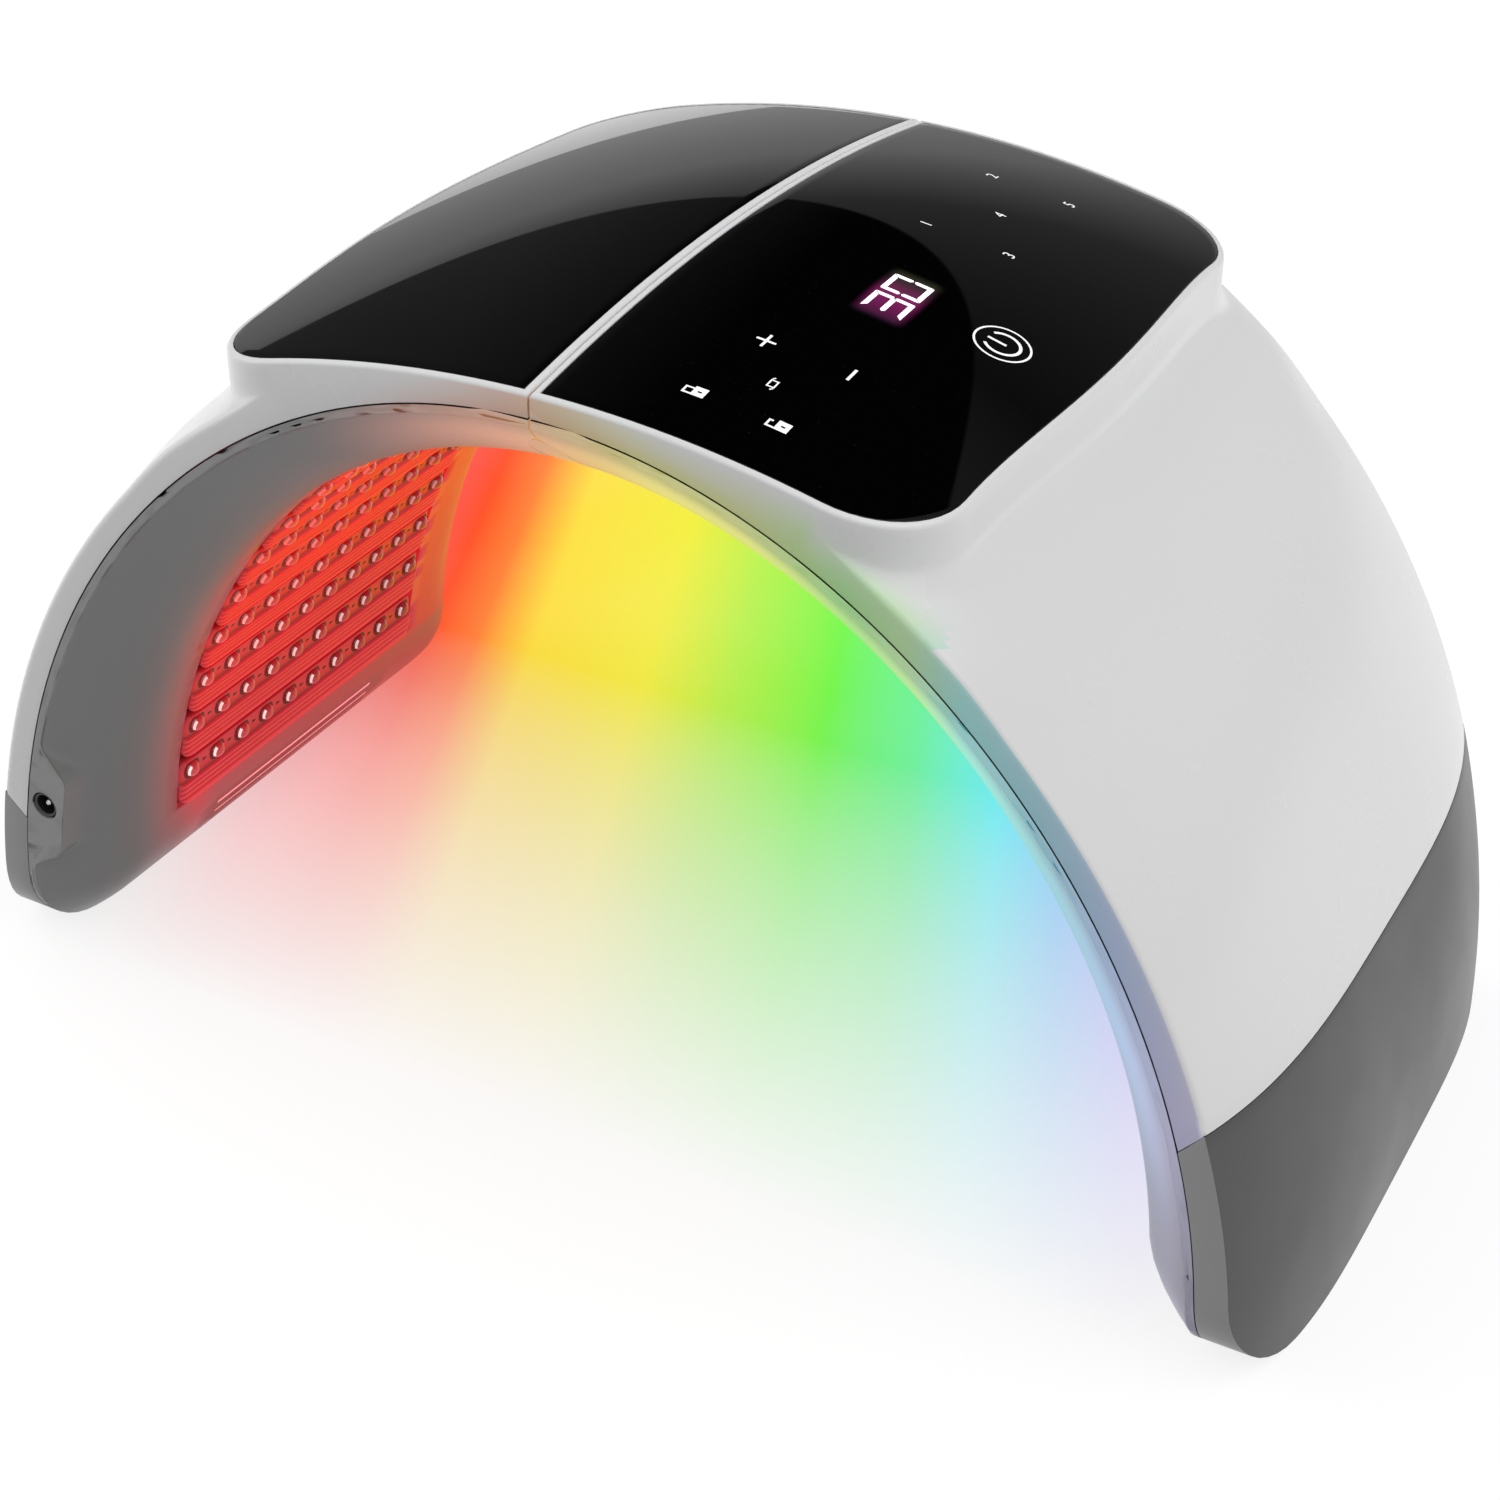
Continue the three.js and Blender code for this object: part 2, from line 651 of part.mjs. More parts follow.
function lensPanel(side) {
  const back = -(COVER_BACK - CLEARANCE);
  const steps = rowHeights.flatMap((_, row) => STEP_SHARES.map(([share, depth]) => {
    const up = alongRow(row, share);
    return [[up, -depth], [up, back + FLANGE_THICKNESS / 2]];
  }));
  const half = WINDOW_HALF_WIDTH - CLEARANCE;
  let panel = band(steps, -half, half, side);
  const reach = FLANGE_WIDTH;
  const flange = stations(FIELD_BOTTOM - reach, FIELD_TOP + reach)
    .map((up) => [[up, back], [up, back + FLANGE_THICKNESS]]);
  panel = panel.add(band(flange, -half - reach, half + reach, side));
  rowHeights.forEach((up) => {
    panel = panel.add(beadRow(up, side));
  });
  return panel;
}

function beadRow(up, side) {
  const foot = archPoint(up, -BEAD_BAND_DEPTH + BEAD_ROOT, 0, side);
  const tip = archPoint(up, -BEAD_BAND_DEPTH - BEAD_HEIGHT, 0, side);
  const height = BEAD_ROOT + BEAD_HEIGHT;
  const turn = new THREE.Quaternion().setFromUnitVectors(
    new THREE.Vector3(0, 1, 0),
    tip.clone().sub(foot).normalize(),
  );
  const beads = [];
  for (let i = 0; i < LEDS_PER_ROW; i += 1) {
    const bead = new THREE.ConeGeometry(BEAD_RADIUS, height, BEAD_SIDES);
    bead.applyQuaternion(turn);
    const centre = foot.clone().lerp(tip, 0.5);
    bead.translate(centre.x, (i - (LEDS_PER_ROW - 1) / 2) * LED_PITCH, centre.z);
    beads.push(solidOf(bead));
  }
  return wasm.Manifold.compose(beads);
}

const BOARD_FACE = COVER_BACK - CLEARANCE - FLANGE_THICKNESS - BOARD_GAP;

function lightBoard(side) {
  const front = -BOARD_FACE;
  const back = front + BOARD_THICKNESS + ROW_BAR_HEIGHT;
  const low = front + ROW_BAR_HEIGHT;
  const pairs = [[[FIELD_BOTTOM, low], [FIELD_BOTTOM, back]]];
  rowHeights.forEach((_, row) => {
    const corners = [
      [-ROW_BAR_SHARE / 2, low],
      [-ROW_BAR_TOP_SHARE / 2, front],
      [ROW_BAR_TOP_SHARE / 2, front],
      [ROW_BAR_SHARE / 2, low],
    ];
    corners.forEach(([share, out]) => {
      const up = alongRow(row, LED_ROW_SHARE + share);
      pairs.push([[up, out], [up, back]]);
    });
  });
  pairs.push([[FIELD_TOP, low], [FIELD_TOP, back]]);
  return band(pairs, -WINDOW_HALF_WIDTH, WINDOW_HALF_WIDTH, side);
}

function windowCut(side) {
  const pairs = stations(FIELD_BOTTOM - CLEARANCE, FIELD_TOP + CLEARANCE)
    .map((up) => [[up, -LEDGE_DEPTH - OVERRUN], [up, -COVER_BACK + OVERRUN]]);
  return band(pairs, -WINDOW_HALF_WIDTH, WINDOW_HALF_WIDTH, side);
}

// Inner cover

const COVER_INSET_SHARES = [0, 0.12, 0.28, 0.54, 1];

function mirroredInsets(half) {
  const front = COVER_INSET_SHARES.map((share) => share * PILLOW_RUN - half);
  return [...front, ...front.map((y) => -y).reverse()];
}

function coverBlank(side) {
  const extra = side < 0 ? blisterStations : [];
  return sweep(stations(0, ARCH_LENGTH, extra), (up) => (
    mirroredInsets(halfDepthAt(up)).map(
      (y) => [[y, innerSurface(up, y, side)], [y, -CLEARANCE]],
    )
  ), side);
}

function coverHollow(side) {
  const extra = side < 0 ? blisterStations : [];
  const heights = stations(COVER_WALL, ARCH_LENGTH, extra);
  return sweep(heights, (up) => (
    mirroredInsets(halfDepthAt(up, COVER_WALL)).map(
      (y) => [[y, hiddenSurface(up, y, side)], [y, OVERRUN]],
    )
  ), side);
}

const GROOVE_RADIUS = BARREL_RADIUS + GROOVE_CLEARANCE;
const LEAF_TOP = HINGE_HEIGHT + BARREL_RADIUS;
const LEAF_BOTTOM = LEAF_TOP - LEAF_THICKNESS;
const BEAM_TOP = LEAF_BOTTOM - CLEARANCE;

// Solid beam under the hinge leaf and the wall that closes the cover at the seam
function seamBlocks(side) {
  const low = CROWN_HEIGHT - COVER_LIP - PILLOW_DEPTH - OVERRUN;
  const high = CROWN_HEIGHT + OVERRUN;
  const beam = box(0, side * BEAM_LENGTH, -HALF_DEPTH, HALF_DEPTH, low, BEAM_TOP);
  const wall = box(0, side * SHELL_WALL, -HALF_DEPTH, HALF_DEPTH, low, high);
  return beam.add(wall);
}

// Room under the barrel for the other half as the legs fold together
function foldRelief(side) {
  const angle = THREE.MathUtils.degToRad(FOLD_LIMIT_DEG / 2 + FOLD_RELIEF_DEG);
  const drop = PILLOW_DEPTH + COVER_LIP;
  const shape = new THREE.Shape([
    new THREE.Vector2(-side * OVERRUN, 0),
    new THREE.Vector2(0, 0),
    new THREE.Vector2(side * drop * Math.tan(angle), -drop),
    new THREE.Vector2(-side * OVERRUN, -drop),
  ]);
  const geometry = new THREE.ExtrudeGeometry(shape, {
    depth: (HALF_DEPTH + OVERRUN) * 2,
    bevelEnabled: false,
  });
  geometry.rotateX(Math.PI / 2);
  geometry.translate(0, HALF_DEPTH + OVERRUN, HINGE_HEIGHT);
  return solidOf(geometry);
}

// Part of the crown above the padded face, through both halves
function crownFill() {
  const rows = mirroredInsets(HALF_DEPTH);
  const rings = [-1, 1].map((end) => {
    const pairs = rows.map((y) => {
      const z = CROWN_HEIGHT + innerSurface(ARCH_LENGTH, y, 1);
      return [[y, z], [y, CROWN_HEIGHT - CLEARANCE]];
    });
    return ringOf(pairs, ([y, z]) => new THREE.Vector3(end * BEAM_LENGTH, y, z));
  });
  return loft(rings);
}

// Round ends of the hinge, part of the right cover and flush with its padded edge
function hingePlugs() {
  const start = BARREL_HALF_LENGTH + GROOVE_CLEARANCE + CLEARANCE;
  const front = rod(BARREL_RADIUS, 0, HINGE_HEIGHT, -HALF_DEPTH, -start);
  const rear = rod(BARREL_RADIUS, 0, HINGE_HEIGHT, start, HALF_DEPTH);
  return front.add(rear).intersect(crownFill());
}

function hingeGroove(side) {
  const half = side > 0 ? BARREL_HALF_LENGTH + GROOVE_CLEARANCE : HALF_DEPTH + OVERRUN;
  return rod(GROOVE_RADIUS, 0, HINGE_HEIGHT, -half, half);
}

function leafSlot(side) {
  const half = BARREL_HALF_LENGTH + GROOVE_CLEARANCE;
  const top = LEAF_TOP + CLEARANCE;
  return box(-side * OVERRUN, side * (BEAM_LENGTH + OVERRUN), -half, half, BEAM_TOP, top);
}

function leafScrewPlaces(side) {
  const x = side * (LEAF_LENGTH - LEAF_SCREW_INSET);
  return Array.from({ length: LEAF_SCREW_COUNT }, (_, i) => [
    x,
    (i - (LEAF_SCREW_COUNT - 1) / 2) * LEAF_SCREW_PITCH,
  ]);
}

function leafScrewHoles(side) {
  const deep = LEAF_TOP - LEAF_SCREW.length - CLEARANCE;
  const posts = leafScrewPlaces(side).map(([x, y]) => (
    post(LEAF_SCREW.shank + CLEARANCE, x, y, deep, LEAF_TOP + OVERRUN)
  ));
  return wasm.Manifold.compose(posts);
}

function leadHole(side) {
  const radius = LEAD_RADIUS + GROOVE_CLEARANCE;
  const geometry = new THREE.CylinderGeometry(radius, radius, SHELL_WALL * 4, SMALL_SIDES);
  geometry.rotateZ(Math.PI / 2);
  geometry.translate(side * SHELL_WALL, LEAD_Y, CROWN_HEIGHT - LEAD_INSET);
  return solidOf(geometry);
}

function ventSlots(side) {
  const slots = [];
  for (let i = 0; i < VENT_COUNT; i += 1) {
    const up = VENT_FIRST_HEIGHT + i * VENT_PITCH;
    const pairs = [up, up + VENT_WIDTH].map((height) => [
      [height, -LEDGE_DEPTH - OVERRUN],
      [height, -COVER_LIP],
    ]);
    slots.push(band(pairs, -VENT_HALF_LENGTH, VENT_HALF_LENGTH, side));
  }
  return wasm.Manifold.compose(slots);
}

const jackCentre = archPoint(JACK_HEIGHT, -JACK_INSET, 0, -1);

function jackHole() {
  const radius = JACK_NOZZLE_RADIUS + CLEARANCE;
  const back = -HALF_DEPTH + JACK_BODY_LENGTH;
  return rod(radius, jackCentre.x, jackCentre.z, -HALF_DEPTH - OVERRUN, back);
}

function innerCover(side) {
  let cover = coverBlank(side)
    .subtract(coverHollow(side).subtract(seamBlocks(side)))
    .subtract(windowCut(side))
    .subtract(foldRelief(side))
    .subtract(hingeGroove(side))
    .subtract(leafSlot(side))
    .subtract(leafScrewHoles(side))
    .subtract(leadHole(side));
  if (side > 0) {
    cover = cover.add(hingePlugs());
  } else {
    cover = cover.subtract(ventSlots(side)).subtract(jackHole());
  }
  return cover;
}

// Hinge

const KNUCKLE_PITCH = (BARREL_HALF_LENGTH * 2 + KNUCKLE_GAP) / KNUCKLE_COUNT;

function knuckleSpan(i) {
  const start = -BARREL_HALF_LENGTH + i * KNUCKLE_PITCH;
  return [start, start + KNUCKLE_PITCH - KNUCKLE_GAP];
}

function hingeLeaf(side) {
  const first = side > 0 ? 0 : 1;
  const [y0, y1] = [-BARREL_HALF_LENGTH, BARREL_HALF_LENGTH];
  let leaf = box(0, side * LEAF_LENGTH, y0, y1, LEAF_BOTTOM, LEAF_TOP);
  for (let i = 0; i < KNUCKLE_COUNT; i += 1) {
    const [start, end] = knuckleSpan(i);
    if (i % 2 === first) {
      leaf = leaf.add(rod(BARREL_RADIUS, 0, HINGE_HEIGHT, start, end));
    } else {
      const [from, to] = [start - KNUCKLE_GAP, end + KNUCKLE_GAP];
      leaf = leaf.subtract(rod(GROOVE_RADIUS, 0, HINGE_HEIGHT, from, to));
    }
  }
  const bore = rod(PIN_RADIUS + CLEARANCE, 0, HINGE_HEIGHT, y0 - OVERRUN, y1 + OVERRUN);
  return leaf.subtract(bore).subtract(leafScrewHoles(side));
}

function addLeafScrews(side, label) {
  leafScrewPlaces(side).forEach(([x, y], i) => {
    const screw = add(`${label}_leaf_screw_${i + 1}`, screwSolid(LEAF_SCREW), COLOURS.steel);
    screw.position.set(x, y, LEAF_TOP + CLEARANCE);
  });
}

// Inlet

function inletJack() {
  const front = -HALF_DEPTH + JACK_RECESS;
  const shoulder = -HALF_DEPTH + COVER_WALL + CLEARANCE;
  const [low, high] = [JACK_HEIGHT - JACK_BODY_HALF_HEIGHT, JACK_HEIGHT + JACK_BODY_HALF_HEIGHT];
  const pairs = [low, high].map((up) => [
    [up, -JACK_INSET - JACK_BODY_HALF_DEPTH],
    [up, -JACK_INSET + JACK_BODY_HALF_DEPTH],
  ]);
  const body = band(pairs, shoulder, shoulder + JACK_BODY_LENGTH, -1);
  const { x, z } = jackCentre;
  const nozzle = rod(JACK_NOZZLE_RADIUS, x, z, front, shoulder + COVER_WALL);
  const floor = front + JACK_BORE_DEPTH;
  const bore = rod(JACK_BORE_RADIUS, x, z, front - OVERRUN, floor);
  const pin = rod(JACK_PIN_RADIUS, x, z, floor - JACK_PIN_LENGTH, floor + OVERRUN, SMALL_SIDES);
  return body.add(nozzle).subtract(bore).add(pin);
}

// Supply leads

function leadSolid(points) {
  const path = new THREE.CatmullRomCurve3(points, false, 'centripetal');
  const section = new THREE.Shape();
  section.absarc(0, 0, LEAD_RADIUS, 0, Math.PI * 2, false);
  const outline = new THREE.Shape(section.getSpacedPoints(LEAD_SIDES).slice(0, LEAD_SIDES));
  const steps = Math.ceil(path.getLength() / LEAD_STEP);
  return solidOf(new THREE.ExtrudeGeometry(outline, { steps, extrudePath: path }));
}

function leftLead() {
  const rear = -HALF_DEPTH + COVER_WALL + CLEARANCE + JACK_BODY_LENGTH + CLEARANCE;
  const points = [
    archPoint(JACK_HEIGHT, -JACK_INSET, rear, -1),
    archPoint(JACK_HEIGHT, -JACK_INSET, rear + LEAD_BEND / 2, -1),
    archPoint(JACK_HEIGHT + LEAD_BEND * 2, -LEAD_INSET, LEAD_Y, -1),
  ];
  const from = JACK_HEIGHT + LEAD_BEND * 2;
  const count = Math.round((ARCH_LENGTH - from) / (STATION_STEP * 2));
  for (let i = 1; i <= count; i += 1) {
    points.push(archPoint(from + ((ARCH_LENGTH - from) * i) / count, -LEAD_INSET, LEAD_Y, -1));
  }
  return leadSolid(points);
}

// Electronics of the right half

const displayZ = domeHeight(DISPLAY_X, DISPLAY_Y);
const BOARD_TILT = Math.atan((2 * DOME_SAG_ACROSS * DISPLAY_X) / CONSOLE_HALF_LENGTH ** 2);

function touchBoard() {
  const top = GLASS_THICKNESS + CLEARANCE;
  const plate = domePlate(TOUCH_X0, TOUCH_X1, TOUCH_Y0, TOUCH_Y1, top, TOUCH_THICKNESS, 1);
  return plate.subtract(displayBlank(CLEARANCE));
}

function displayBlank(grow) {
  const x = DISPLAY_SIZE_X / 2 + grow;
  const y = DISPLAY_SIZE_Y / 2 + grow;
  const [z0, z1] = [CONSOLE_BLANK_BOTTOM, CONSOLE_BLANK_TOP];
  return box(DISPLAY_X - x, DISPLAY_X + x, DISPLAY_Y - y, DISPLAY_Y + y, z0, z1);
}

function tiltedMatrix(z) {
  const matrix = new THREE.Matrix4().makeRotationY(BOARD_TILT);
  return matrix.setPosition(DISPLAY_X, DISPLAY_Y, z);
}

function tilted(solid) {
  return solid.transform(tiltedMatrix(displayZ - CONTROL_BOARD_DROP).toArray());
}

function displayModule() {
  const top = domeSlab(GLASS_THICKNESS + CLEARANCE, 1, flatFloor);
  const reach = CONTROL_BOARD_DROP * 2;
  const size = Math.max(DISPLAY_SIZE_X, DISPLAY_SIZE_Y);
  const above = tilted(box(-size, size, -size, size, CLEARANCE, reach));
  return displayBlank(0).intersect(top).intersect(above);
}

function boardScrewPlaces() {
  const x = CONTROL_BOARD_LENGTH / 2 - BOARD_SCREW_INSET;
  const y = CONTROL_BOARD_HALF_WIDTH - BOARD_SCREW_INSET;
  return [[-x, -y], [x, -y], [-x, y], [x, y]];
}

function controlBoard() {
  const half = CONTROL_BOARD_LENGTH / 2;
  const width = CONTROL_BOARD_HALF_WIDTH;
  let board = box(-half, half, -width, width, -BOARD_THICKNESS, 0);
  boardScrewPlaces().forEach(([x, y]) => {
    board = board.subtract(post(BOARD_SCREW.shank + CLEARANCE, x, y, -OVERRUN * 2, OVERRUN));
  });
  return tilted(board);
}

function boardBosses() {
  const tray = GLASS_THICKNESS + CLEARANCE + TRAY_THICKNESS / 2;
  const reach = CONTROL_BOARD_DROP;
  const bosses = boardScrewPlaces().map(([x, y]) => (
    post(BOSS_RADIUS, x, y, CLEARANCE, reach)
  ));
  return tilted(wasm.Manifold.compose(bosses)).intersect(domeSlab(tray, 1, flatFloor));
}

function bossHoles() {
  const deep = BOARD_SCREW.length - BOARD_THICKNESS;
  const holes = boardScrewPlaces().map(([x, y]) => (
    post(BOARD_SCREW.shank + CLEARANCE, x, y, 0, deep)
  ));
  return tilted(wasm.Manifold.compose(holes));
}

function touchWindow() {
  const grow = CLEARANCE;
  const [x0, x1] = [TOUCH_X0 - grow, TOUCH_X1 + grow];
  const [y0, y1] = [TOUCH_Y0 - grow, TOUCH_Y1 + grow];
  return domePlate(x0, x1, y0, y1, 0, CONTROL_BOARD_DROP, 1);
}

function rightShell() {
  return outerShell(1, RIGHT_CAP_HEIGHT)
    .subtract(touchWindow())
    .add(boardBosses())
    .subtract(bossHoles());
}

function addBoardScrews() {
  const holder = new THREE.Group();
  holder.applyMatrix4(tiltedMatrix(displayZ - CONTROL_BOARD_DROP));
  group.add(holder);
  boardScrewPlaces().forEach(([x, y], i) => {
    const solid = screwSolid(BOARD_SCREW);
    const screw = add(`control_board_screw_${i + 1}`, solid, COLOURS.steel, holder);
    screw.rotation.x = Math.PI;
    screw.position.set(x, y, -BOARD_THICKNESS - CLEARANCE);
  });
}

function rightLead() {
  const z = CROWN_HEIGHT - LEAD_INSET;
  const board = new THREE.Vector3(
    -CONTROL_BOARD_LENGTH / 2 + BOARD_SCREW_INSET * 2,
    -CONTROL_BOARD_HALF_WIDTH + BOARD_SCREW_INSET * 2,
    -BOARD_THICKNESS - CLEARANCE,
  ).applyMatrix4(tiltedMatrix(displayZ - CONTROL_BOARD_DROP));
  const half = LEAD_BEND / 2;
  return leadSolid([
    new THREE.Vector3(SEAM_GAP / 2, LEAD_Y, z),
    new THREE.Vector3(LEAD_BEND, LEAD_Y, z),
    new THREE.Vector3(LEAD_BEND * 2, LEAD_Y, z),
    new THREE.Vector3(board.x, board.y - LEAD_BEND, z),
    new THREE.Vector3(board.x, board.y, board.z - half),
    board,
  ]);
}

// Right half, which stays put
add('right_outer_shell', rightShell(), COLOURS.whiteGloss);
add('right_leg_cap', legCap(1, RIGHT_CAP_HEIGHT), COLOURS.capGrey);
add('right_inner_cover', innerCover(1), COLOURS.greySatin);
add('right_lens_panel', lensPanel(1), COLOURS.lensRight);
add('right_led_board', lightBoard(1), COLOURS.boardWhite);
add('right_glass', glassPanel(1), COLOURS.blackGlass);
add('touch_board', touchBoard(), COLOURS.boardGreen);
add('display', displayModule(), COLOURS.blackPlastic);
add('control_board', controlBoard(), COLOURS.boardGreen);
addBoardScrews();
add('right_hinge_leaf', hingeLeaf(1), COLOURS.steel);
addLeafScrews(1, 'right');
const pinEnd = BARREL_HALF_LENGTH - CLEARANCE;
add('hinge_pin', rod(PIN_RADIUS, 0, HINGE_HEIGHT, -pinEnd, pinEnd), COLOURS.steel);
add('right_supply_lead', rightLead(), COLOURS.leadBlack);

// Left half, which folds
add('left_outer_shell', outerShell(-1, LEFT_CAP_HEIGHT), COLOURS.whiteGloss);
add('left_leg_cap', legCap(-1, LEFT_CAP_HEIGHT), COLOURS.capGrey);
add('left_inner_cover', innerCover(-1), COLOURS.greySatin);
add('left_lens_panel', lensPanel(-1), COLOURS.lensLeft);
add('left_led_board', lightBoard(-1), COLOURS.boardWhite);
add('left_glass', glassPanel(-1), COLOURS.blackGlass);
add('left_hinge_leaf', hingeLeaf(-1), COLOURS.steel);
addLeafScrews(-1, 'left');
add('inlet_jack', inletJack(), COLOURS.blackPlastic);
add('left_supply_lead', leftLead(), COLOURS.leadBlack);

export default group;
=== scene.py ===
"""Folding arch light lamp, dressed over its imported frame: shells, caps, covers, light panels,
glass console with its marks, hinge and inlet, on a pale floor under soft studio light."""
import logging
import math
from bisect import bisect_left
from dataclasses import dataclass, field
from enum import Enum
from functools import cached_property
from typing import Callable, Iterable, Sequence

import bmesh
import bpy
from mathutils import Matrix, Vector


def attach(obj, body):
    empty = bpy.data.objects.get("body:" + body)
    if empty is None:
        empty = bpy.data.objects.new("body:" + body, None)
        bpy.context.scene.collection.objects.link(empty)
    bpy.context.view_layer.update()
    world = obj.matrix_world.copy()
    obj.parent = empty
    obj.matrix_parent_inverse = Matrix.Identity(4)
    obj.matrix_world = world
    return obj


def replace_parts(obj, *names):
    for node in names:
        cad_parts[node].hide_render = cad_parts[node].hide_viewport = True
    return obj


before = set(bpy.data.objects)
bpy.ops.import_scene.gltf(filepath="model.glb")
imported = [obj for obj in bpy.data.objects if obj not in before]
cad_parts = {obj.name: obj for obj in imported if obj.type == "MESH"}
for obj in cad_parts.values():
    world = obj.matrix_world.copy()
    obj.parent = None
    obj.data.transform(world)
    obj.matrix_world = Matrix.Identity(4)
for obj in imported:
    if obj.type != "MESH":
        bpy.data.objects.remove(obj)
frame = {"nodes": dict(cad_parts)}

LOG = logging.getLogger("lamp")
MM = 0.001
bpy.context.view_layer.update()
Tree, Node, Socket = bpy.types.NodeTree, bpy.types.Node, bpy.types.NodeSocket
Material, Object = bpy.types.Material, bpy.types.Object
Mesh, Vert, Edge = bmesh.types.BMesh, bmesh.types.BMVert, bmesh.types.BMEdge
Colour, Pair = tuple[float, float, float], tuple[float, float]
Stops = Sequence[tuple[float, Colour]]


class Side(Enum):
    """The half of the lamp that a piece belongs to."""

    RIGHT = 1
    LEFT = -1

    @property
    def label(self) -> str:
        """Start of the names of this half's pieces."""
        return self.name.lower()

    @property
    def body(self) -> str:
        """Name of the moving body that this half rides on."""
        return f"{self.label}_half"


CAP_HEIGHTS = {Side.RIGHT: 75.5, Side.LEFT: 51.8}


# Form of the arch.


@dataclass(frozen=True)
class ArchForm:
    """Parting line of the arch and the surfaces that follow it, in millimetres.

    "up" runs along the line from the foot to the crown, "out" stands square to it.
    """

    half_span: float = 180.4
    crown: float = 215.3
    crown_handle: float = 96.0
    side_handle: float = 111.8
    foot_straight: float = 5.1
    half_gap: float = 0.3
    half_depth: float = 101.5
    foot_corner: float = 27.0
    rim: Pair = (6.0, 9.0)
    crowning: Pair = (8.5, 11.8)
    fullness: Pair = (2.0, 4.5)
    lip: float = 2.4
    pillow_depth: float = 18.6
    pillow_run: float = 28.0

    @cached_property
    def table(self) -> tuple[list[float], list[Vector], list[Vector]]:
        """Lengths from the foot, points and downhill directions along the line."""
        corners = [
            Vector((0, self.crown)),
            Vector((self.crown_handle, self.crown)),
            Vector((self.half_span, self.foot_straight + self.side_handle)),
            Vector((self.half_span, self.foot_straight)),
        ]
        points, ways = [], []
        for step in range(1201):
            t = step / 1200
            s = 1 - t
            weights = (s**3, 3 * s * s * t, 3 * s * t * t, t**3)
            points.append(sum((c * w for c, w in zip(corners, weights)), Vector((0, 0))))
            slopes = (s * s, 2 * s * t, t * t)
            way = sum(((corners[k + 1] - corners[k]) * w for k, w in enumerate(slopes)), Vector((0, 0)))
            ways.append(way.normalized())
        for step in range(1, 11):
            points.append(Vector((self.half_span, self.foot_straight * (1 - step / 10))))
            ways.append(Vector((0, -1)))
        lengths = [0.0]
        for here, before in zip(points[1:], points):
            lengths.append(lengths[-1] + (here - before).length)
        total = lengths[-1]
        return [total - d for d in reversed(lengths)], points[::-1], ways[::-1]

    @cached_property
    def length(self) -> float:
        """Length of the line from the foot to the crown."""
        return self.table[0][-1]

    def line(self, up: float) -> tuple[Vector, Vector]:
        """Point and downhill direction at a length from the foot.

        Args:
            up: length from the foot; past either end the line runs on straight.

        Returns:
            The point and the direction in the plane of the arch.
        """
        ups, points, ways = self.table
        inside = min(max(up, 0.0), self.length)
        k = min(max(bisect_left(ups, inside), 1), len(ups) - 1)
        share = (inside - ups[k - 1]) / max(ups[k] - ups[k - 1], 1e-9)
        point = points[k - 1].lerp(points[k], share)
        way = ways[k - 1].lerp(ways[k], share).normalized()
        return point - way * (up - inside), way

    def place(self, up: float, out: float) -> Vector:
        """Point of the right half in the plane of the arch, as x and z."""
        point, way = self.line(up)
        return Vector((self.half_gap + point.x - out * way.y, point.y + out * way.x))

    def foot_of(self, x: float, z: float) -> float:
        """Length from the foot of the line's point nearest to x and z."""
        low, high = 0.0, self.length
        target = Vector((x, z))
        for _ in range(40):
            mid = (low + high) / 2
            point, way = self.line(mid)
            ahead = (target - Vector((point.x + self.half_gap, point.y))).dot(way)
            low, high = (low, mid) if ahead > 0 else (mid, high)
        return (low + high) / 2

    def toward_foot(self, ends: Pair, up: float) -> float:
        """Value that grows from the crown down to the foot."""
        return ends[0] + (ends[1] - ends[0]) * (1 - up / self.length) ** 2

    def half_depth_at(self, up: float, inset: float = 0.0) -> float:
        """Half depth of the leg's outline at a height, drawn in by an inset."""
        if up >= self.foot_corner:
            return self.half_depth - inset
        rise = (self.foot_corner - inset) ** 2 - (self.foot_corner - up) ** 2
        return self.half_depth - self.foot_corner + math.sqrt(max(rise, 0.0))

    def outline_distance(self, up: float, y: float) -> float:
        """Distance from the leg's outline."""
        past = abs(y) - (self.half_depth - self.foot_corner)
        if up < self.foot_corner and past > 0:
            return max(self.foot_corner - math.hypot(self.foot_corner - up, past), 0.0)
        return max(min(up, self.half_depth - abs(y)), 0.0)

    def outer(self, up: float, y: float) -> float:
        """Height of the outer skin over the parting line."""
        fullness = self.toward_foot(self.fullness, up)
        share = min(abs(y) / self.half_depth, 1.0) ** fullness
        return self.toward_foot(self.rim, up) + self.toward_foot(self.crowning, up) * (1 - share)

    def pillow(self, distance: float) -> float:
        """Depth of the padded inner face at a distance from its outline."""
        left = 1 - min(max(distance, 0.0) / self.pillow_run, 1.0)
        return self.lip + self.pillow_depth * (1 - left**2)

    def joint_shift(self, up: float, y: float, out: float, slant: float = 0.65) -> float:
        """How far the joint of cap and shell is shifted along the arch at y and out."""
        _, way = self.line(up)
        face = self.outer(up, y)
        lean = -way.x / way.y
        return (out - face) * slant - (face - self.toward_foot(self.rim, up)) * lean


